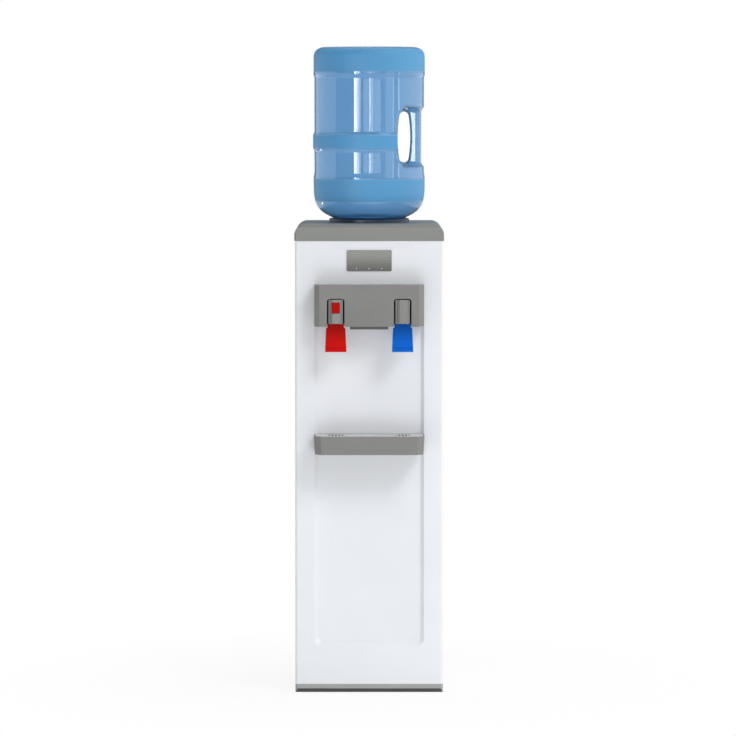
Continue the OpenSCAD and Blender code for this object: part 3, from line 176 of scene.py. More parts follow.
class Nodes:
    """A material's or the world's node tree, with short ways to add what it needs"""

    def __init__(self, owner):
        owner.use_nodes = True
        self.tree = owner.node_tree

    def node(self, kind, **values):
        node = self.tree.nodes.new(kind)
        for key, value in values.items():
            setattr(node, key, value)
        return node

    def link(self, output, target):
        self.tree.links.new(output, target)

    def math(self, operation, *values):
        """A calculation on plain numbers and other nodes' outputs"""
        node = self.node("ShaderNodeMath", operation=operation)
        for socket, value in zip(node.inputs, values):
            if isinstance(value, bpy.types.NodeSocket):
                self.link(value, socket)
            else:
                socket.default_value = value
        return node.outputs[0]

    def split(self, kind, value):
        """The outputs X, Y and Z of a vector (XYZ), or Red, Green and Blue of a colour (Color)"""
        node = self.node("ShaderNodeSeparate" + kind)
        self.link(value, node.inputs[0])
        return node.outputs

    def range(self, value, low, high, start=0.3, end=0.7):
        """Goes from low to high while the value goes from start to end"""
        node = self.node("ShaderNodeMapRange")
        for socket, v in (("From Min", start), ("From Max", end), ("To Min", low), ("To Max", high)):
            node.inputs[socket].default_value = v
        self.link(value, node.inputs["Value"])
        return node.outputs["Result"]

    def ramp(self, value, stops, smooth="EASE"):
        node = self.node("ShaderNodeValToRGB")
        node.color_ramp.interpolation = smooth
        elements = node.color_ramp.elements
        while len(elements) < len(stops):
            elements.new(0.5)
        for element, (at, shade) in zip(elements, stops):
            element.position = at
            element.color = (*shade, 1)
        self.link(value, node.inputs["Fac"])
        return node.outputs["Color"]

    def mix_shaders(self, share, first, second, output):
        """Sends a mix of two shader nodes to the named output node"""
        either = self.node("ShaderNodeMixShader")
        self.link(share, either.inputs["Fac"])
        self.link(first.outputs[0], either.inputs[1])
        self.link(second.outputs[0], either.inputs[2])
        self.link(either.outputs[0], self.tree.nodes[output].inputs["Surface"])

    def background_rays(self):
        """1 for rays that see the surroundings straight or through the bottle"""
        path = self.node("ShaderNodeLightPath").outputs
        return self.math("MAXIMUM", path["Is Camera Ray"], path["Is Transmission Ray"])


class Finish(Nodes):
    """A material whose colour, sheen and relief follow patterns on Object coordinates"""

    def __init__(self, base, roughness, metallic=0.0, coat=0.0):
        self.material = bpy.data.materials.new("finish")
        super().__init__(self.material)
        self.shader = self.tree.nodes["Principled BSDF"]
        self.place = self.node("ShaderNodeTexCoord").outputs["Object"]
        self.set("Base Color", (*base, 1))
        self.set("Roughness", roughness)
        self.set("Metallic", metallic)
        self.set("Coat Weight", coat)
        self.set("Coat Roughness", 0.12)

    def set(self, socket, value):
        self.shader.inputs[socket].default_value = value

    def noise(self, scale, detail=3.0, stretch=None):
        node = self.node("ShaderNodeTexNoise")
        node.inputs["Scale"].default_value = scale
        node.inputs["Detail"].default_value = detail
        node.inputs["Roughness"].default_value = 0.55
        place = self.place
        if stretch:
            mapping = self.node("ShaderNodeMapping")
            mapping.inputs["Scale"].default_value = stretch
            self.link(place, mapping.inputs["Vector"])
            place = mapping.outputs["Vector"]
        self.link(place, node.inputs["Vector"])
        return node.outputs["Fac"]

    def pattern(self, kind, scale):
        """The outputs of a Voronoi or Brick texture"""
        node = self.node("ShaderNodeTex" + kind)
        node.inputs["Scale"].default_value = scale
        self.link(self.place, node.inputs["Vector"])
        return node.outputs

    def height(self, low, high):
        """0 at the low level, 1 at the high one"""
        return self.range(self.split("XYZ", self.place)["Z"], 0.0, 1.0, low, high)

    def tint(self, value, low, high, start=0.35, end=0.65):
        self.link(self.ramp(value, [(start, low), (end, high)]), self.shader.inputs["Base Color"])

    def sheen_of(self, value, low, high):
        self.link(self.range(value, low, high), self.shader.inputs["Roughness"])

    def bump(self, value, depth, strength=1.0):
        node = self.node("ShaderNodeBump")
        node.inputs["Distance"].default_value = depth
        node.inputs["Strength"].default_value = strength
        previous = self.shader.inputs["Normal"].links
        if previous:
            self.link(previous[0].from_socket, node.inputs["Normal"])
        self.link(value, node.inputs["Height"])
        self.link(node.outputs["Normal"], self.shader.inputs["Normal"])


def shade(base, factor):
    return tuple(min(1.0, c * factor) for c in base)


def moulded(base, roughness=0.42, grain=1400, depth=0.04 * MM, coat=0.0, specular=0.5,
            clouding=1.0):
    """Moulded plastic: faint flow clouding, a fine spark-eroded grain and uneven sheen"""
    f = Finish(base, roughness, coat=coat)
    f.set("Specular IOR Level", specular)
    f.tint(f.noise(5.0, 4), shade(base, 1 - 0.035 * clouding), shade(base, 1 + 0.03 * clouding))
    f.sheen_of(f.noise(38.0, 3), roughness * (1 - 0.12 * clouding), roughness * (1 + 0.15 * clouding))
    f.bump(f.noise(grain, 2), depth, 0.6)
    f.bump(f.noise(9.0, 2), 0.6 * MM, 0.05 * clouding)
    return f.material


def paddle_painted_shade(base, node):
    """Lever plastic with painted shade: darker towards its top and lighter at its foot, for the shade on
    its curved face
    """
    f = Finish(base, 0.4)
    f.set("Specular IOR Level", 0.06)
    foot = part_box(node)[0].z
    height = f.height(foot, foot + settings()[1].paddle_shade_height)
    # painted shade: lighter at the foot, darker at the top
    f.tint(height, shade(base, 1.32), shade(base, 0.6), 0.2, 1.0)
    f.bump(f.noise(800.0, 2), 0.03 * MM, 0.6)
    return f.material


def satin_key(base):
    """Grey lacquer with a metallic sheen, on the keys"""
    f = Finish(base, 0.2, metallic=0.25)
    f.tint(f.noise(5.0, 4), shade(base, 0.84), shade(base, 0.88))
    f.bump(f.noise(900.0, 2), 0.01 * MM, 0.4)
    return f.material


def graded_plate(high, low):
    """Satin metallic print that grows darker downwards, with fine cross marks"""
    f = Finish(high, 0.38, metallic=0.1)
    box_low, box_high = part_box("indicator_plate")
    marks = f.noise(700.0, 3, stretch=(0.05, 1, 1))
    # darker towards the bottom, mixed with the fine marks
    grade_and_marks = f.math("MULTIPLY_ADD", marks, 0.3, f.height(box_low.z, box_high.z))
    f.tint(grade_and_marks, low, high, 0.15, 1.15)
    f.sheen_of(marks, 0.34, 0.46)
    f.bump(marks, 0.02 * MM, 0.4)
    return f.material


def powder_coated(base):
    """Powder paint on sheet: an orange-peel surface"""
    f = Finish(base, 0.36, coat=0.15)
    f.tint(f.noise(4.0, 3), shade(base, 0.97), shade(base, 1.02))
    f.sheen_of(f.noise(30.0, 3), 0.3, 0.42)
    f.bump(f.noise(420.0, 2), 0.08 * MM, 0.5)
    return f.material


def galvanised(base):
    """Zinc coating: crystals of differing shade with dull streaks"""
    f = Finish(base, 0.42, metallic=0.85)
    crystal = f.split("Color", f.pattern("Voronoi", 160.0)["Color"])
    f.tint(crystal["Red"], shade(base, 0.93), shade(base, 1.05), 0.1, 0.9)
    f.sheen_of(crystal["Green"], 0.34, 0.5)
    f.bump(f.noise(260.0, 3), 0.03 * MM, 0.4)
    return f.material


def drawn_metal(base, roughness, stretch=(1, 1, 0.06)):
    """Drawn or brushed metal: fine marks along the way it was worked"""
    f = Finish(base, roughness, metallic=1.0)
    f.tint(f.noise(12.0, 4), shade(base, 0.82), shade(base, 1.08))
    marks = f.noise(900.0, 3, stretch=stretch)
    f.sheen_of(marks, roughness * 0.75, roughness * 1.35)
    f.bump(marks, 0.02 * MM, 0.5)
    return f.material


def rubbery(base):
    """Moulded rubber: matt, dusty, with a soft grain"""
    f = Finish(base, 0.78)
    f.tint(f.noise(28.0, 4), shade(base, 0.8), shade(base, 1.35))
    f.sheen_of(f.noise(90.0, 3), 0.66, 0.88)
    f.bump(f.noise(900.0, 3), 0.05 * MM, 0.6)
    return f.material


def enamelled(base):
    """Dipped black enamel: runs and a wavy gloss"""
    f = Finish(base, 0.3, coat=0.3)
    f.tint(f.noise(16.0, 4), shade(base, 0.75), shade(base, 1.6))
    f.sheen_of(f.noise(60.0, 3), 0.22, 0.42)
    f.bump(f.noise(45.0, 2), 0.2 * MM, 0.2)
    return f.material


def foamed(base):
    """Moulded foam: beads of slightly different shade, and gaps between them"""
    f = Finish(base, 0.85)
    beads = f.pattern("Voronoi", 240.0)["Distance"]
    f.tint(beads, base, shade(base, 0.8), 0.3, 0.8)
    f.sheen_of(f.noise(40.0), 0.8, 0.92)
    f.bump(beads, 0.4 * MM, 0.5)
    return f.material


def circuit(base):
    """Solder mask with the tracks showing through"""
    f = Finish(base, 0.35, coat=0.4)
    tracks = f.pattern("Brick", 90.0)["Fac"]
    f.tint(tracks, base, shade(base, 1.9), 0.3, 0.7)
    f.sheen_of(f.noise(60.0), 0.3, 0.45)
    f.bump(tracks, 0.04 * MM, 0.5)
    return f.material


def bottle_wall(clear, band, z_low, z_high, bands, grip_x):
    """Clear blue polycarbonate with three frosted bands, the second of which stops at the grip"""
    f = Finish(clear, 0.06)
    f.set("IOR", 1.58)
    place = f.split("XYZ", f.place)
    height = f.range(place["Z"], 0.0, 1.0, z_low, z_high)
    span = z_high - z_low
    edge = 1.2 * MM / span
    off, on = (0, 0, 0), (1, 1, 1)
    masks = []
    for low, high in bands:
        a, b = (low - z_low) / span, (high - z_low) / span
        stops = [(a - edge, off), (a + edge, on), (b - edge, on), (b + edge, off)]
        masks.append(f.split("Color", f.ramp(height, stops, "LINEAR"))["Red"])
    masks[1] = f.math("MULTIPLY", masks[1], f.math("LESS_THAN", place["X"], grip_x))
    mask = f.math("MAXIMUM", f.math("MAXIMUM", masks[0], masks[1]), masks[2])
    mix = f.node("ShaderNodeMix", data_type="RGBA")
    f.link(mask, mix.inputs["Factor"])
    for socket, base, scale, change in (("A", clear, 3.0, 0.03), ("B", band, 6.0, 0.02)):
        stops = [(0.35, shade(base, 1 - change)), (0.65, shade(base, 1 + change))]
        f.link(f.ramp(f.noise(scale, 3), stops), mix.inputs[socket])
    f.link(mix.outputs["Result"], f.shader.inputs["Base Color"])
    for socket, plain, frosted in (("Roughness", 0.02, 0.55), ("Transmission Weight", 0.82, 0.55)):
        f.link(f.range(mask, plain, frosted, 0, 1), f.shader.inputs[socket])
    f.bump(f.noise(14.0, 2), 1.2 * MM, 0.06)
    return f.material


def make_finishes():
    """Every finish by its name: one for each material slot of the frame, and those of the pieces"""
    c, sizes, _ = settings()
    low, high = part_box("bottle")
    bands = [(high.z - down, high.z - up) for up, down in (
        (sizes.low_from, sizes.low_to), (sizes.rib_from, sizes.rib_to), (4 * MM, sizes.top_band))]
    finishes = {
        "white_plastic": moulded(c.panel, 0.34, 900, 0.03 * MM, 0.1, clouding=0.4),
        "white_steel": powder_coated(c.panel),
        "galvanised_steel": galvanised(c.zinc),
        "grey_plastic": moulded(c.trim, 0.46),
        "cover_plastic": moulded(c.cover, 0.3, 240, 0.003 * MM, clouding=0.1),
        "skirt_plastic": moulded(c.skirt, 0.46),
        "dark_grey_plastic": moulded(srgb(90, 90, 90), 0.5),
        "light_grey_plastic": moulded(srgb(200, 200, 200), 0.45),
        "black_plastic": moulded(srgb(34, 35, 36), 0.42, 700, 0.03 * MM, specular=0.3),
        "seat_plastic": moulded(c.dark, 0.36, 700, 0.03 * MM, specular=0.4),
        "rubber": rubbery(srgb(52, 52, 52)),
        "lens_plastic": moulded(srgb(196, 202, 196), 0.2, 500, 0.01 * MM, 0.5),
        "circuit_board": circuit(srgb(32, 110, 66)),
        "red_plastic": moulded(c.hot, 0.4, 800, 0.03 * MM, specular=0.06),
        "blue_plastic": moulded(c.cold, 0.4, 800, 0.03 * MM, specular=0.06),
        "plate_face": graded_plate(c.plate_high, c.plate_low),
        # the paddles' finishes carry painted shade, darker towards their tops
        "hot_paddle_painted_shade": paddle_painted_shade(c.hot, "hot_paddle"),
        "cold_paddle_painted_shade": paddle_painted_shade(c.cold, "cold_paddle"),
        "key_plastic": satin_key(c.trim),
        # painted shade: near-black finish for slot insides, key sides and the sheets behind the housing
        "shadow_plastic": moulded(srgb(24, 24, 24), 0.6, specular=0.1),
        # painted shade: dark grey for the base strip's underside
        "plinth_painted_shade": moulded(srgb(84, 84, 82), 0.6, specular=0.2),
        "green_plastic": moulded(srgb(40, 132, 78), 0.3, 800, 0.03 * MM, 0.2),
        "spring_steel": drawn_metal(srgb(206, 206, 208), 0.22),
        "natural_plastic": moulded(srgb(232, 228, 214), 0.4),
        "silicone": rubbery(srgb(206, 206, 200)),
        "bottle_plastic": bottle_wall(
            c.bottle, c.band, low.z, high.z, bands, Grip(sizes).hole_x),
        "white_fitting": moulded(srgb(226, 226, 224), 0.35),
        "stainless_steel": drawn_metal(srgb(196, 197, 199), 0.26, (1, 1, 0.04)),
        "copper": drawn_metal(c.copper, 0.3, (1, 1, 1)),
        "foam": foamed(srgb(232, 230, 222)),
        "black_steel": enamelled(srgb(30, 30, 32)),
    }
    for name, material in finishes.items():
        material.name = name
    return finishes


FINISHES = {}
SLOT_OF = {s["node"]: s["material_slot"] for s in frame["record"]["subparts"]}
BODY_OF = {n: b for b, nodes in frame["record"]["behaviour"]["bodies"].items() for n in nodes}


# Ways to make pieces


def merged_copy(node):
    """The CAD node's mesh in one skin, with its flat faces whole again"""
    bm = bmesh.new()
    bm.from_mesh(frame["nodes"][node].data)
    bmesh.ops.remove_doubles(bm, verts=bm.verts, dist=2e-6)
    bmesh.ops.dissolve_degenerate(bm, dist=1e-6, edges=bm.edges)
    bmesh.ops.dissolve_limit(bm, angle_limit=math.radians(0.6), verts=bm.verts, edges=bm.edges,
                             use_dissolve_boundaries=False)
    return bm


def as_piece(name, bm, node, finish=None, smooth=32):
    """Turns a bmesh into a piece that rides with the node's body, in the node's slot"""
    mesh = bpy.data.meshes.new(name)
    bm.to_mesh(mesh)
    bm.free()
    mesh.materials.append(FINISHES[finish or SLOT_OF[node]])
    mesh.shade_smooth()
    mesh.set_sharp_from_angle(angle=math.radians(smooth))
    piece = bpy.data.objects.new(name, mesh)
    bpy.context.scene.collection.objects.link(piece)
    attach(piece, BODY_OF[node])
    return piece


def eased(node, name, width, segments=2, angle=38, finish=None, bm=None):
    """The node's own shape, or a given one for it, with its edges rounded"""
    if bm is None:
        bm = merged_copy(node)
    piece = as_piece(name, bm, node, finish, smooth=angle)
    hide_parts(node)
    edge = piece.modifiers.new("edges", "BEVEL")
    edge.width = width
    edge.segments = segments
    edge.limit_method = "ANGLE"
    edge.angle_limit = math.radians(angle)
    edge.use_clamp_overlap = True
    edge.harden_normals = True
    return piece


def coil_spring(node, name):
    """The node's coil as a smoothed piece with a mesh of its own; it finds the joints that squeeze it
    but does not shorten it
    """
    piece = as_piece(name, merged_copy(node), node, smooth=50)
    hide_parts(node)
    low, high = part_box(node)
    for joint in frame["record"]["behaviour"]["joints"]:
        for row in joint.get("deforming_nodes", []):
            if row["node"] != node:
                continue
            letter = row["mode"][-1]
            side = "xyz".index(letter)
            fixed = row[f"fixed_end_{letter}_m"]
            axis, anchor = Vector(), (low + high) / 2
            axis[side], anchor[side] = 1, fixed
            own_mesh(piece)
    return piece


def repaint(piece, finish, where):
    """Gives a finish to the faces whose centre and normal the test picks"""
    piece.data.materials.append(FINISHES[finish])
    slot = len(piece.data.materials) - 1
    for face in piece.data.polygons:
        if where(face.center, face.normal):
            face.material_index = slot


def finish_node(node):
    data = frame["nodes"][node].data
    data.materials.clear()
    data.materials.append(FINISHES[SLOT_OF[node]])


class COOLER_OT_finish_frame(bpy.types.Operator):
    """Gives every CAD node the finish of its material slot"""
    bl_idname = "cooler.finish_frame"
    bl_label = "Finish the Frame"

    def execute(self, context):
        FINISHES.update(make_finishes())
        for node in frame["nodes"]:
            finish_node(node)
        return {"FINISHED"}


class COOLER_OT_cabinet(bpy.types.Operator):
    """Front panel, side panels, top cover, base strip and feet with softened edges"""
    bl_idname = "cooler.cabinet"
    bl_label = "Cabinet"

    def execute(self, context):
        sizes = settings()[1]
        eased("front_panel", "front_panel_shell", sizes.shell_edge, 3, 30)
        eased("top_cover", "top_cover_shell", sizes.shell_edge, 3, 40, finish="cover_plastic")
        strip = eased("base_skirt", "base_strip", sizes.small_edge, 2, 25, finish="skirt_plastic")
        # painted shade: the strip's downward faces get a dark grey, standing in for the shade under it
        repaint(strip, "plinth_painted_shade", lambda at, way: way.z < -0.2)
        for side in ("left", "right"):
            eased(f"side_panel_{side}", f"side_sheet_{side}", sizes.sheet_edge, 2)
        for node in ("feet", "base_plate", "back_panel"):
            eased(node, f"{node}_pressing", sizes.sheet_edge, 1)
        return {"FINISHED"}


class COOLER_OT_plate(bpy.types.Operator):
    """Bare indicator plate with its three lamp lenses"""
    bl_idname = "cooler.plate"
    bl_label = "Indicator Plate"

    def execute(self, context):
        sizes = settings()[1]
        eased("indicator_plate", "plate_front", sizes.small_edge, 3, finish="plate_face")
        eased("indicator_lenses", "lamp_lenses", sizes.small_edge, 2)
        return {"FINISHED"}


def housing_shade_sheets(middle, sizes):
    """Near-black sheets on the panel beside the taps, seen through the gaps of the keys: painted shade
    for the shadow inside the housing
    """
    low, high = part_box("tap_housing")
    height = high.z - low.z - 6 * MM
    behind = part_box("front_panel")[0].y - sizes.shade_sheet_thickness / 2 - ON_PLANE
    bm = bmesh.new()
    for tap in (-middle, middle):
        for side in (-1, 1):
            made = bmesh.ops.create_cube(bm, size=1)["verts"]
            bmesh.ops.scale(bm, verts=made, vec=(sizes.shade_sheet_breadth, sizes.shade_sheet_thickness, height))
            bmesh.ops.translate(bm, verts=made, vec=(
                tap + side * sizes.shade_sheet_beside, behind, (low.z + high.z) / 2))
    as_piece("housing_shade_sheets", bm, "tap_housing", "shadow_plastic")


class COOLER_OT_housing(bpy.types.Operator):
    """Tap housing with its sloping ends, and the cover under it"""
    bl_idname = "cooler.housing"
    bl_label = "Tap Housing"

    def execute(self, context):
        sizes = settings()[1]
        shell = eased("tap_housing", "housing_shell", sizes.small_edge, 2, 30)
        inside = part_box("tap_housing")[0].y + 0.3 * MM
        key_low, key_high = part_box("cold_key")
        middle = (key_low.x + key_high.x) / 2
        reach = (key_high.x - key_low.x) / 2 + sizes.slot_shade
        # painted shade: faces inside the housing near each key's slot get the near-black finish,
        # standing in for the shadow in the slots
        repaint(shell, "shadow_plastic",
                lambda at, way: at.y > inside and abs(abs(at.x) - middle) < reach)
        eased("housing_bottom_cover", "housing_cover", sizes.small_edge, 2)
        # painted shade: dark sheets behind the gaps beside the keys
        housing_shade_sheets(middle, sizes)
        return {"FINISHED"}


def lever_key(tap, sizes):
    """A key whose face is folded beside its left edge, with painted shade on its sides and top where it
    fills its slot
    """
    node = f"{tap}_key"
    bm = merged_copy(node)
    low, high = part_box(node)
    fold = low.x + (high.x - low.x) * sizes.key_fold
    face_y, lip_y = low.y + ON_PLANE, low.y + 1.6 * MM
    front = [f for f in bm.faces if f.normal.y < -0.99 and f.calc_center_median().y < face_y]
    around = list({e for f in front for e in f.edges}) + list({v for f in front for v in f.verts})
    bmesh.ops.bisect_plane(
        bm, geom=front + around, dist=1e-6, plane_co=(fold, 0, 0), plane_no=(1, 0, 0))
    for vert in bm.verts:
        if vert.co.y < face_y:
            aside = vert.co.x - fold
            vert.co.y += aside * sizes.key_right_turn if aside > 0 else -aside * sizes.key_left_turn
    piece = eased(node, f"{tap}_lever_key", sizes.small_edge, 2, finish="key_plastic", bm=bm)
    for face in piece.data.polygons:
        if face.normal.y < -0.95 and face.center.y < lip_y:
            face.use_smooth = False

    # painted shade: the key's sides and top, inside its slot, get the near-black finish
    def in_slot(at, way):
        beside = at.x < low.x + ON_PLANE or at.x > high.x - ON_PLANE
        return abs(way.x) > 0.9 and beside or way.z > 0.9 and at.z > high.z - ON_PLANE
    repaint(piece, "shadow_plastic", in_slot)


class COOLER_OT_levers(bpy.types.Operator):
    """Keys, paddles, child-lock button, pins and the taps behind them"""
    bl_idname = "cooler.levers"
    bl_label = "Levers"

    def execute(self, context):
        sizes = settings()[1]
        for tap in ("hot", "cold"):
            lever_key(tap, sizes)
            eased(f"{tap}_paddle", f"{tap}_lever_paddle", sizes.small_edge, 3,
                  finish=f"{tap}_paddle_painted_shade")
            eased(f"{tap}_tap_body", f"{tap}_spout", sizes.sheet_edge, 2)
            eased(f"{tap}_valve_stem", f"{tap}_stem", sizes.sheet_edge, 2)
            coil_spring(f"{tap}_valve_spring", f"{tap}_valve_coil")
        eased("lock_button", "child_lock_button", sizes.small_edge, 3)
        coil_spring("lock_spring", "child_lock_coil")
        eased("tap_bonnets", "spring_bonnets", sizes.sheet_edge, 2)
        eased("lever_pins", "steel_pins", sizes.sheet_edge, 2)
        return {"FINISHED"}


def flat_corners(piece, corner):
    """Turns the round front corners of the tapering tray, or of its grille, into flat facets"""
    low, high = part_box("drip_tray")
    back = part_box("front_panel")[0].y
    tray = frame["nodes"]["drip_tray"].data
    floor = [v.co for v in tray.vertices if v.co.z < low.z + ON_PLANE]
    narrower = 1 - max(co.x for co in floor) / high.x
    shallower = 1 - (back - min(co.y for co in floor)) / (back - low.y)
    for vert in piece.data.vertices:
        drop = (high.z - vert.co.z) / (high.z - low.z)
        side = (high.x - corner) * (1 - narrower * drop)
        front = back - (back - low.y - corner) * (1 - shallower * drop)
        out, forward = abs(vert.co.x) - side, front - vert.co.y
        if out > 0 and forward > 0:
            reach = math.hypot(out, forward)
            share = out / (out + forward)
            vert.co.x = math.copysign(side + reach * share, vert.co.x)
            vert.co.y = front - reach * (1 - share)


class COOLER_OT_tray(bpy.types.Operator):
    """Drip tray and its slotted grille"""
    bl_idname = "cooler.tray"
    bl_label = "Drip Tray"

    def execute(self, context):
        sizes = settings()[1]
        flat_corners(eased("drip_tray", "tray_shell", sizes.small_edge, 3), sizes.tray_corner)
        flat_corners(eased("drip_grille", "tray_grille", sizes.sheet_edge, 2), sizes.tray_corner)
        return {"FINISHED"}


class COOLER_OT_seat(bpy.types.Operator):
    """Dark ring that holds the bottle"""
    bl_idname = "cooler.seat"
    bl_label = "Bottle Seat"

    def execute(self, context):
        sizes = settings()[1]
        eased("bottle_seat", "seat_ring", sizes.small_edge, 3, 30, finish="seat_plastic")
        for node in ("bottle_cap", "cap_plug", "feed_probe"):
            eased(node, f"{node}_moulding", sizes.sheet_edge, 2)
        return {"FINISHED"}


def smooth_step(value, start, end):
    t = min(1.0, max(0.0, (value - start) / (end - start)))
    return t * t * (3 - 2 * t)


def turned_outline(node, axis, pitch, ease):
    """Radius and height along a turned CAD node, probed on its plain left side and eased"""
    bm = merged_copy(node)
    tree = BVHTree.FromBMesh(bm)
    bm.free()
    low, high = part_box(node)
    from_above = (axis.x - low.x) * 0.85
    clear = 0.1
    down, inwards = Vector((0, 0, -1)), Vector((1, 0, 0))
    probes = []
    for i in range(int(from_above / pitch) + 1):
        start = Vector((axis.x - i * pitch - 1e-5, axis.y, high.z + clear))
        probes.append((i * pitch, tree.ray_cast(start, down)[0].z))
    z = probes[-1][1] - pitch
    while z > low.z:
        start = Vector((low.x - clear, axis.y, z))
        probes.append((axis.x - tree.ray_cast(start, inwards)[0].x, z))
        z -= pitch
    probes.append((probes[-1][0], low.z))
    reach = max(1, int(ease / pitch))
    eased_points = []
    for i in range(len(probes)):
        span = min(reach, i, len(probes) - 1 - i)
        near = probes[i - span:i + span + 1]
        eased_points.append(tuple(sum(p[k] for p in near) / len(near) for k in (0, 1)))
    return eased_points


def thinned(points, near, far, keep):
    """Drops points, so that steps are far on straight stretches and near at bends and where keep says"""
    kept = [points[0]]
    for point, after in zip(points[1:], points[2:]):
        gap = math.dist(kept[-1], point)
        a, b = Vector(point) - Vector(kept[-1]), Vector(after) - Vector(point)
        turn = a.angle(b) if a.length > 0 and b.length > 0 else 0
        if gap >= far or (gap >= near and (keep(point) or turn > math.radians(1.5))):
            kept.append(point)
    return kept + [points[-1]]


class Grip:
    """Where the bottle's grip and the hole behind it lie, relative to the bottle's axis"""

    def __init__(self, sizes):
        boxes = {o["name"]: o["box_m"] for o in frame["record"]["physics"]["openings"]}
        (hole_x0, _, hole_z0), (hole_x1, _, hole_z1) = boxes["grip_hole"]
        front, rear = boxes["grip_front"][1][1], boxes["grip_rear"][0][1]
        slimmer, wider, taller = 1.5 * MM, 2.8 * MM, 7 * MM
        pocket_left, past_hole, outer_side = 6 * MM, 10 * MM, 37 * MM
        self.axis_y = (front + rear) / 2
        self.floor = (rear - front) / 2 - slimmer
        self.edge = sizes.hole_round
        self.hole_x = (hole_x0 + hole_x1) / 2
        self.hole_z = (hole_z0 + hole_z1) / 2
        self.hole_half_w = (hole_x1 - hole_x0) / 2 + wider
        self.hole_half_h = (hole_z1 - hole_z0) / 2 + taller
        self.hole_end_r = self.hole_half_w - sizes.hole_swell
        self.left = self.hole_x - pocket_left
        self.half_h = self.hole_half_h + past_hole
        self.end_x = self.hole_x + outer_side
        self.bend_x = self.end_x - sizes.grip_round
        self.blend = sizes.pocket_blend
        self.round = sizes.pocket_round

    def depth(self, x, z):
        """How far a place lies inside the pocket's outline, seen from the front"""
        across = self.left + self.round - x
        along = abs(z - self.hole_z) - self.half_h + self.round
        outside = math.hypot(max(across, 0), max(along, 0)) + min(max(across, along), 0)
        return self.round - outside

    def section(self, part):
        """A place on the grip's section, from its flat front at 0 round to its outer edge at 1"""
        flat = self.bend_x - self.left
        curve = math.pi / 2 * math.hypot(self.end_x - self.bend_x, self.floor) / math.sqrt(2)
        way = part * (flat + curve)
        if way < flat:
            return self.left + way, self.floor
        turn = (way - flat) / curve * math.pi / 2
        return self.bend_x + (self.end_x - self.bend_x) * math.sin(turn), self.floor * math.cos(turn)

    def sink(self, co):
        """Moves a place on the turned skin into the pocket or onto the grip"""
        share = smooth_step(self.depth(co.x, co.z), 0, self.blend)
        if share == 0:
            return
        whole = math.acos(self.left / math.hypot(co.x, co.y))
        x, y = self.section(1 - min(1.0, math.atan2(abs(co.y), co.x) / whole))
        co += (Vector((x, -y, co.z)) - co) * share

    def on_hole(self, x, z, grow):
        """Nearest place on the hole's long oval outline, and how far outside it the given place is"""
        straight = self.hole_half_h - self.hole_end_r
        along = min(straight, max(-straight, z - self.hole_z))
        centre = Vector((self.hole_x, self.hole_z + along))
        swell = (self.hole_half_w - self.hole_end_r) * (1 - (along / straight) ** 2)
        reach = self.hole_end_r + swell + grow
        way = Vector((x, z)) - centre
        return centre + way.normalized() * reach, way.length - reach


def bottle_half(grip, outline, columns, fine_columns, fine_from):
    """Front half of the bottle's skin round the origin, with its pocket and a gap for the hole"""
    bm = bmesh.new()
    verts = [bm.verts.new((-r, 0, z)) for r, z in outline]
    geom = verts + [bm.edges.new(pair) for pair in zip(verts, verts[1:])]
    for angle, steps in ((fine_from, columns), (math.pi - fine_from, fine_columns)):
        geom = bmesh.ops.spin(bm, geom=geom, cent=(0, 0, 0), axis=(0, 0, 1), angle=angle,
                              steps=steps, use_duplicate=False)["geom_last"]
    bmesh.ops.remove_doubles(bm, verts=bm.verts, dist=1e-5)
    for vert in bm.verts:
        if vert.co.x > grip.left:
            grip.sink(vert.co)
    bmesh.ops.delete(bm, geom=[f for f in bm.faces if in_hole(grip, f)], context="FACES")
    return bm


def in_hole(grip, face):
    centre = face.calc_center_median()
    return centre.x > 0 and grip.on_hole(centre.x, centre.z, grip.edge)[1] < 0


def hole_rim(bm, grip):
    """The open edges round the hole, and not those where the two halves will join"""
    def beside_hole(co):
        aside = abs(co.z - grip.hole_z)
        return co.y < -0.3 * grip.floor and co.x > 0 and aside < grip.half_h + grip.edge
    return [e for e in bm.edges if e.is_boundary and all(beside_hole(v.co) for v in e.verts)]


def move_rim(grip, rim, grow):
    """Draws the rim's places onto the hole's outline"""
    verts = {v for e in rim for v in e.verts}
    for vert in verts:
        vert.co.x, vert.co.z = grip.on_hole(vert.co.x, vert.co.z, grow)[0]
    return verts


def extrude_rim(bm, rim):
    made = bmesh.ops.extrude_edge_only(bm, edges=rim)["geom"]
    return [g for g in made if isinstance(g, bmesh.types.BMEdge)]


def bottle_skin(grip, outline, columns, fine_columns, fine_from):
    """The whole skin: two mirrored halves, joined, with a rounded tunnel behind the grip"""
    bm = bottle_half(grip, outline, columns, fine_columns, fine_from)
    rim = hole_rim(bm, grip)
    move_rim(grip, rim, grip.edge)
    steps = 4
    for i in range(steps):
        before, after = (math.radians(90 * k / steps) for k in (i, i + 1))
        rim = extrude_rim(bm, rim)
        for vert in move_rim(grip, rim, grip.edge * (1 - math.sin(after))):
            vert.co.y += grip.edge * (math.cos(before) - math.cos(after))
    rim = extrude_rim(bm, rim)
    for vert in {v for e in rim for v in e.verts}:
        vert.co.y = 0
    bmesh.ops.mirror(bm, geom=bm.verts[:] + bm.edges[:] + bm.faces[:], matrix=Matrix(),
                     merge_dist=1e-5, axis="Y")
    bmesh.ops.recalc_face_normals(bm, faces=bm.faces)
    bmesh.ops.translate(bm, vec=(0, grip.axis_y, 0), verts=bm.verts)
    return bm


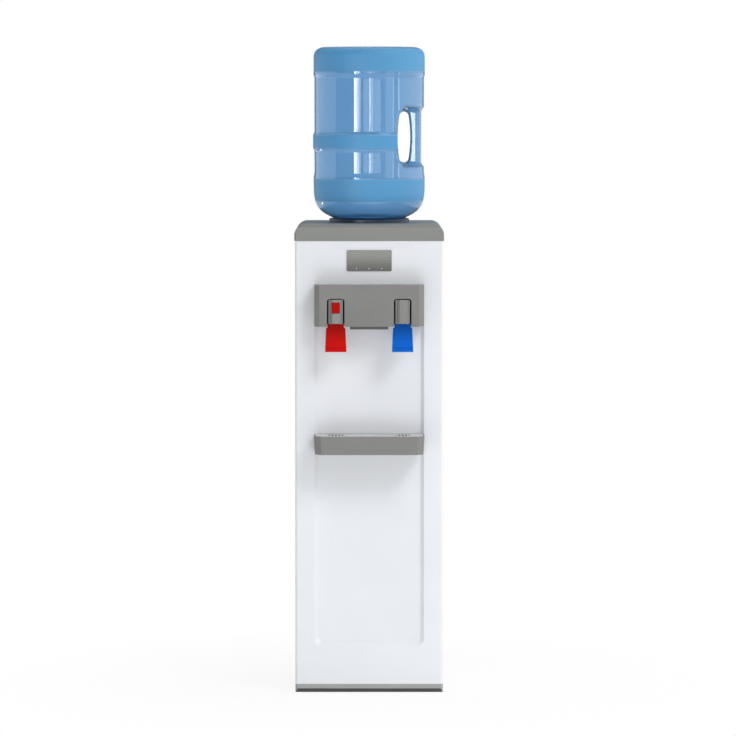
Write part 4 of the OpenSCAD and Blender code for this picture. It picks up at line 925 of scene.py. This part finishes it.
class COOLER_OT_bottle(bpy.types.Operator):
    """Blue bottle with frosted bands, its middle rib and the grip"""
    bl_idname = "cooler.bottle"
    bl_label = "Bottle"

    def execute(self, context):
        sizes = settings()[1]
        grip = Grip(sizes)
        axis = Vector((0, grip.axis_y, 0))
        probed = turned_outline("bottle", axis, pitch=0.8 * MM, ease=sizes.outline_ease)
        outline = thinned(
            probed, near=1.6 * MM, far=6 * MM,
            keep=lambda p: abs(p[1] - grip.hole_z) < grip.half_h and p[0] > grip.hole_x)
        bm = bottle_skin(grip, outline, columns=48, fine_columns=74, fine_from=math.radians(112))
        bottle = as_piece("bottle_shell", bm, "bottle", smooth=70)
        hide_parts("bottle")
        wall = bottle.modifiers.new("wall", "SOLIDIFY")
        wall.thickness = sizes.bottle_wall
        wall.offset = -1
        return {"FINISHED"}


class COOLER_OT_back(bpy.types.Operator):
    """Condenser, compressor, copper lines, switches and the other fittings at the back"""
    bl_idname = "cooler.back"
    bl_label = "Back"

    def execute(self, context):
        sizes = settings()[1]
        for node in ("condenser_tube", "condenser_wires", "refrigerant_lines", "compressor",
                     "compressor_grommets", "relay_cover", "filter_drier", "switch_frames",
                     "hot_rocker", "cold_rocker", "cord_gland", "drain_spout", "drain_cap",
                     "panel_screws"):
            eased(node, f"{node}_finished", sizes.sheet_edge, 1, 50)
        return {"FINISHED"}


# Studio


def look_at(obj, target):
    direction = Vector(target) - obj.location
    obj.rotation_euler = direction.to_track_quat("-Z", "Y").to_euler()


def area_lamp(name, place, target, width, height, radiance, shines=True, mirrored=True):
    """A soft lamp of a given brightness, which may light surfaces, show in them, or both"""
    lamp = bpy.data.lights.new(name, "AREA")
    lamp.shape = "RECTANGLE"
    lamp.size = width
    lamp.size_y = height
    lamp.energy = radiance * math.pi * width * height
    obj = bpy.data.objects.new(name, lamp)
    bpy.context.scene.collection.objects.link(obj)
    obj.location = place
    look_at(obj, target)
    obj.visible_camera = False
    obj.visible_diffuse = shines
    obj.visible_glossy = mirrored
    obj.visible_transmission = shines


def strip_lamp(name, azimuth, away, breadth, z_low, z_high, radiance):
    """A lamp for reflections only, at an azimuth in degrees to the right, seen from the bottle"""
    turn = math.radians(azimuth)
    middle = (z_low + z_high) / 2
    place = (away * math.sin(turn), -away * math.cos(turn), middle)
    width = 2 * away * math.tan(math.radians(breadth / 2))
    area_lamp(name, place, (0, 0, middle), width, z_high - z_low, radiance, shines=False)


def white_surroundings(scene, studio):
    """A white world to the eye, whose light and reflections have their own strengths and colour"""
    world = bpy.data.worlds.new("surroundings")
    scene.world = world
    w = Nodes(world)
    way = w.split("XYZ", w.node("ShaderNodeTexCoord").outputs["Generated"])
    depth = w.range(way["Y"], studio.fill_front, studio.fill, -1.0, 0.0)
    side = w.range(way["X"], studio.fill_left, studio.fill_right, -1.0, 1.0)
    height = w.range(way["Z"], 1.0, studio.above, 0.0, 1.0)
    lit = w.tree.nodes["Background"]
    w.link(w.math("MULTIPLY", w.math("MULTIPLY", depth, side), height), lit.inputs["Strength"])
    behind = w.range(way["Y"], 0.0, 1.0, 0.3, 0.8)
    glossy = w.node("ShaderNodeLightPath").outputs["Is Glossy Ray"]
    shown = w.node("ShaderNodeMix", data_type="RGBA")
    shown.inputs["A"].default_value = (1, 1, 1, 1)
    shown.inputs["B"].default_value = (*studio.backdrop, 1)
    w.link(w.math("MULTIPLY", behind, glossy), shown.inputs["Factor"])
    w.link(shown.outputs["Result"], lit.inputs["Color"])
    seen = w.node("ShaderNodeBackground")
    seen.inputs["Color"].default_value = (1, 1, 1, 1)
    seen.inputs["Strength"].default_value = 1.0
    w.mix_shaders(w.background_rays(), lit, seen, "World Output")


def pale_floor(scene):
    """A floor that is white to the eye, but for the faint shade round the cooler's foot"""
    bm = bmesh.new()
    bmesh.ops.create_grid(bm, x_segments=2, y_segments=2, size=14)
    mesh = bpy.data.meshes.new("floor")
    bm.to_mesh(mesh)
    bm.free()
    floor = bpy.data.objects.new("floor", mesh)
    scene.collection.objects.link(floor)
    f = Finish((0.86, 0.86, 0.86), 0.9)
    f.material.name = "pale_floor"
    f.set("Specular IOR Level", 0.1)
    glow = f.node("ShaderNodeEmission")
    glow.inputs["Strength"].default_value = 1.0
    away = f.node("ShaderNodeVectorMath", operation="LENGTH")
    f.link(f.place, away.inputs[0])
    white = f.range(away.outputs["Value"], 0.88, 1.0, 0.3, 0.9)
    share = f.math("MULTIPLY", f.background_rays(), white)
    f.mix_shaders(share, f.shader, glow, "Material Output")
    mesh.materials.append(f.material)


def studio_lamps(studio, front):
    """A steep key lamp at the upper right, a low sheet in front, and lamps for reflections only"""
    key_side = 1.9
    area_lamp("key_lamp", (2.6, front - 3.25, 4.47), (0, front, 0.7), key_side, key_side, studio.key,
              mirrored=False)
    area_lamp("table_sheet", (0, -1.15, 0.16), (0, front, 0.12), 2.2, 0.3, studio.bounce,
              mirrored=False)
    strip, sheet = studio.strip, studio.sheet
    for name, azimuth, breadth, radiance in (
            ("left_strip", -29, 5, strip * 1.5),
            ("left_strip_mid", -24, 5, strip * 0.7),
            ("left_strip_tail", -19.5, 4, strip * 0.3)):
        strip_lamp(name, azimuth, 3.2, breadth, 0.7, 1.75, radiance)
    strip_lamp("middle_strip", 1.6, 9.2, 2.0, 0.2, 2.4, strip * 0.9)
    strip_lamp("middle_line", 6.0, 9.2, 2.2, 0.2, 2.4, strip * 0.3)
    strip_lamp("front_sheet", 6.0, 9.6, 36, 0.95, 2.6, sheet)
    for name, azimuth, breadth, radiance in (
            ("right_line", 51.5, 2.5, strip * 0.25),
            ("right_strip", 64.5, 3.5, strip * 0.3),
            ("right_front_sheet", 42, 16, sheet * 0.6),
            ("right_sheet", 108, 82, sheet * 0.4),
            ("left_sheet", -111, 74, sheet * 0.5)):
        strip_lamp(name, azimuth, 3.4, breadth, 0.4, 2.4, radiance)
    area_lamp("left_glint", (-1.22, 0.96, 0.5), (-0.1, 0, 1.03), 0.3, 0.05, strip * 0.6,
              shines=False)


def place_camera(scene, studio, front):
    camera = bpy.data.cameras.new("camera")
    camera.sensor_width = 36.0
    camera.sensor_fit = "HORIZONTAL"
    camera.lens = studio.focal
    camera.clip_end = 100.0
    obj = bpy.data.objects.new("camera", camera)
    scene.collection.objects.link(obj)
    left_of_middle = 2.47 * MM
    obj.location = (-left_of_middle, front - studio.distance, studio.height)
    obj.rotation_euler = (math.radians(90 - studio.tilt), 0, 0)
    scene.camera = obj


class COOLER_OT_stage(bpy.types.Operator):
    """White surroundings, pale floor, lamps and the camera"""
    bl_idname = "cooler.stage"
    bl_label = "Stage"

    def execute(self, context):
        studio, scene = settings()[2], context.scene
        scene.view_settings.view_transform = "Standard"
        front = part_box("front_panel")[0].y
        white_surroundings(scene, studio)
        pale_floor(scene)
        studio_lamps(studio, front)
        place_camera(scene, studio, front)
        return {"FINISHED"}


OPERATORS = (
    COOLER_OT_finish_frame,
    COOLER_OT_stage,
    COOLER_OT_cabinet,
    COOLER_OT_plate,
    COOLER_OT_housing,
    COOLER_OT_levers,
    COOLER_OT_tray,
    COOLER_OT_seat,
    COOLER_OT_bottle,
    COOLER_OT_back,
)
GROUPS = (CoolerColours, CoolerSizes, StudioSettings)


class VIEW3D_PT_water_cooler(bpy.types.Panel):
    """Lists the steps that build the cooler, and its settings"""
    bl_label = "Water Cooler"
    bl_idname = "VIEW3D_PT_water_cooler"
    bl_space_type = "VIEW_3D"
    bl_region_type = "UI"
    bl_category = "Water Cooler"

    def draw(self, context):
        column = self.layout.column(align=True)
        for operator in OPERATORS:
            column.operator(operator.bl_idname)
        for group in settings():
            box = self.layout.box()
            for name in group.__annotations__:
                box.prop(group, name)


def register():
    for cls in GROUPS + OPERATORS + (VIEW3D_PT_water_cooler,):
        bpy.utils.register_class(cls)
    bpy.types.Scene.cooler_colours = bpy.props.PointerProperty(type=CoolerColours)
    bpy.types.Scene.cooler_sizes = bpy.props.PointerProperty(type=CoolerSizes)
    bpy.types.Scene.cooler_studio = bpy.props.PointerProperty(type=StudioSettings)


def unregister():
    del bpy.types.Scene.cooler_studio
    del bpy.types.Scene.cooler_sizes
    del bpy.types.Scene.cooler_colours
    for cls in reversed(GROUPS + OPERATORS + (VIEW3D_PT_water_cooler,)):
        bpy.utils.unregister_class(cls)


def main():
    register()
    for operator in OPERATORS:
        group, step = operator.bl_idname.split(".")
        getattr(getattr(bpy.ops, group), step)()


if __name__ == "__main__":
    main()
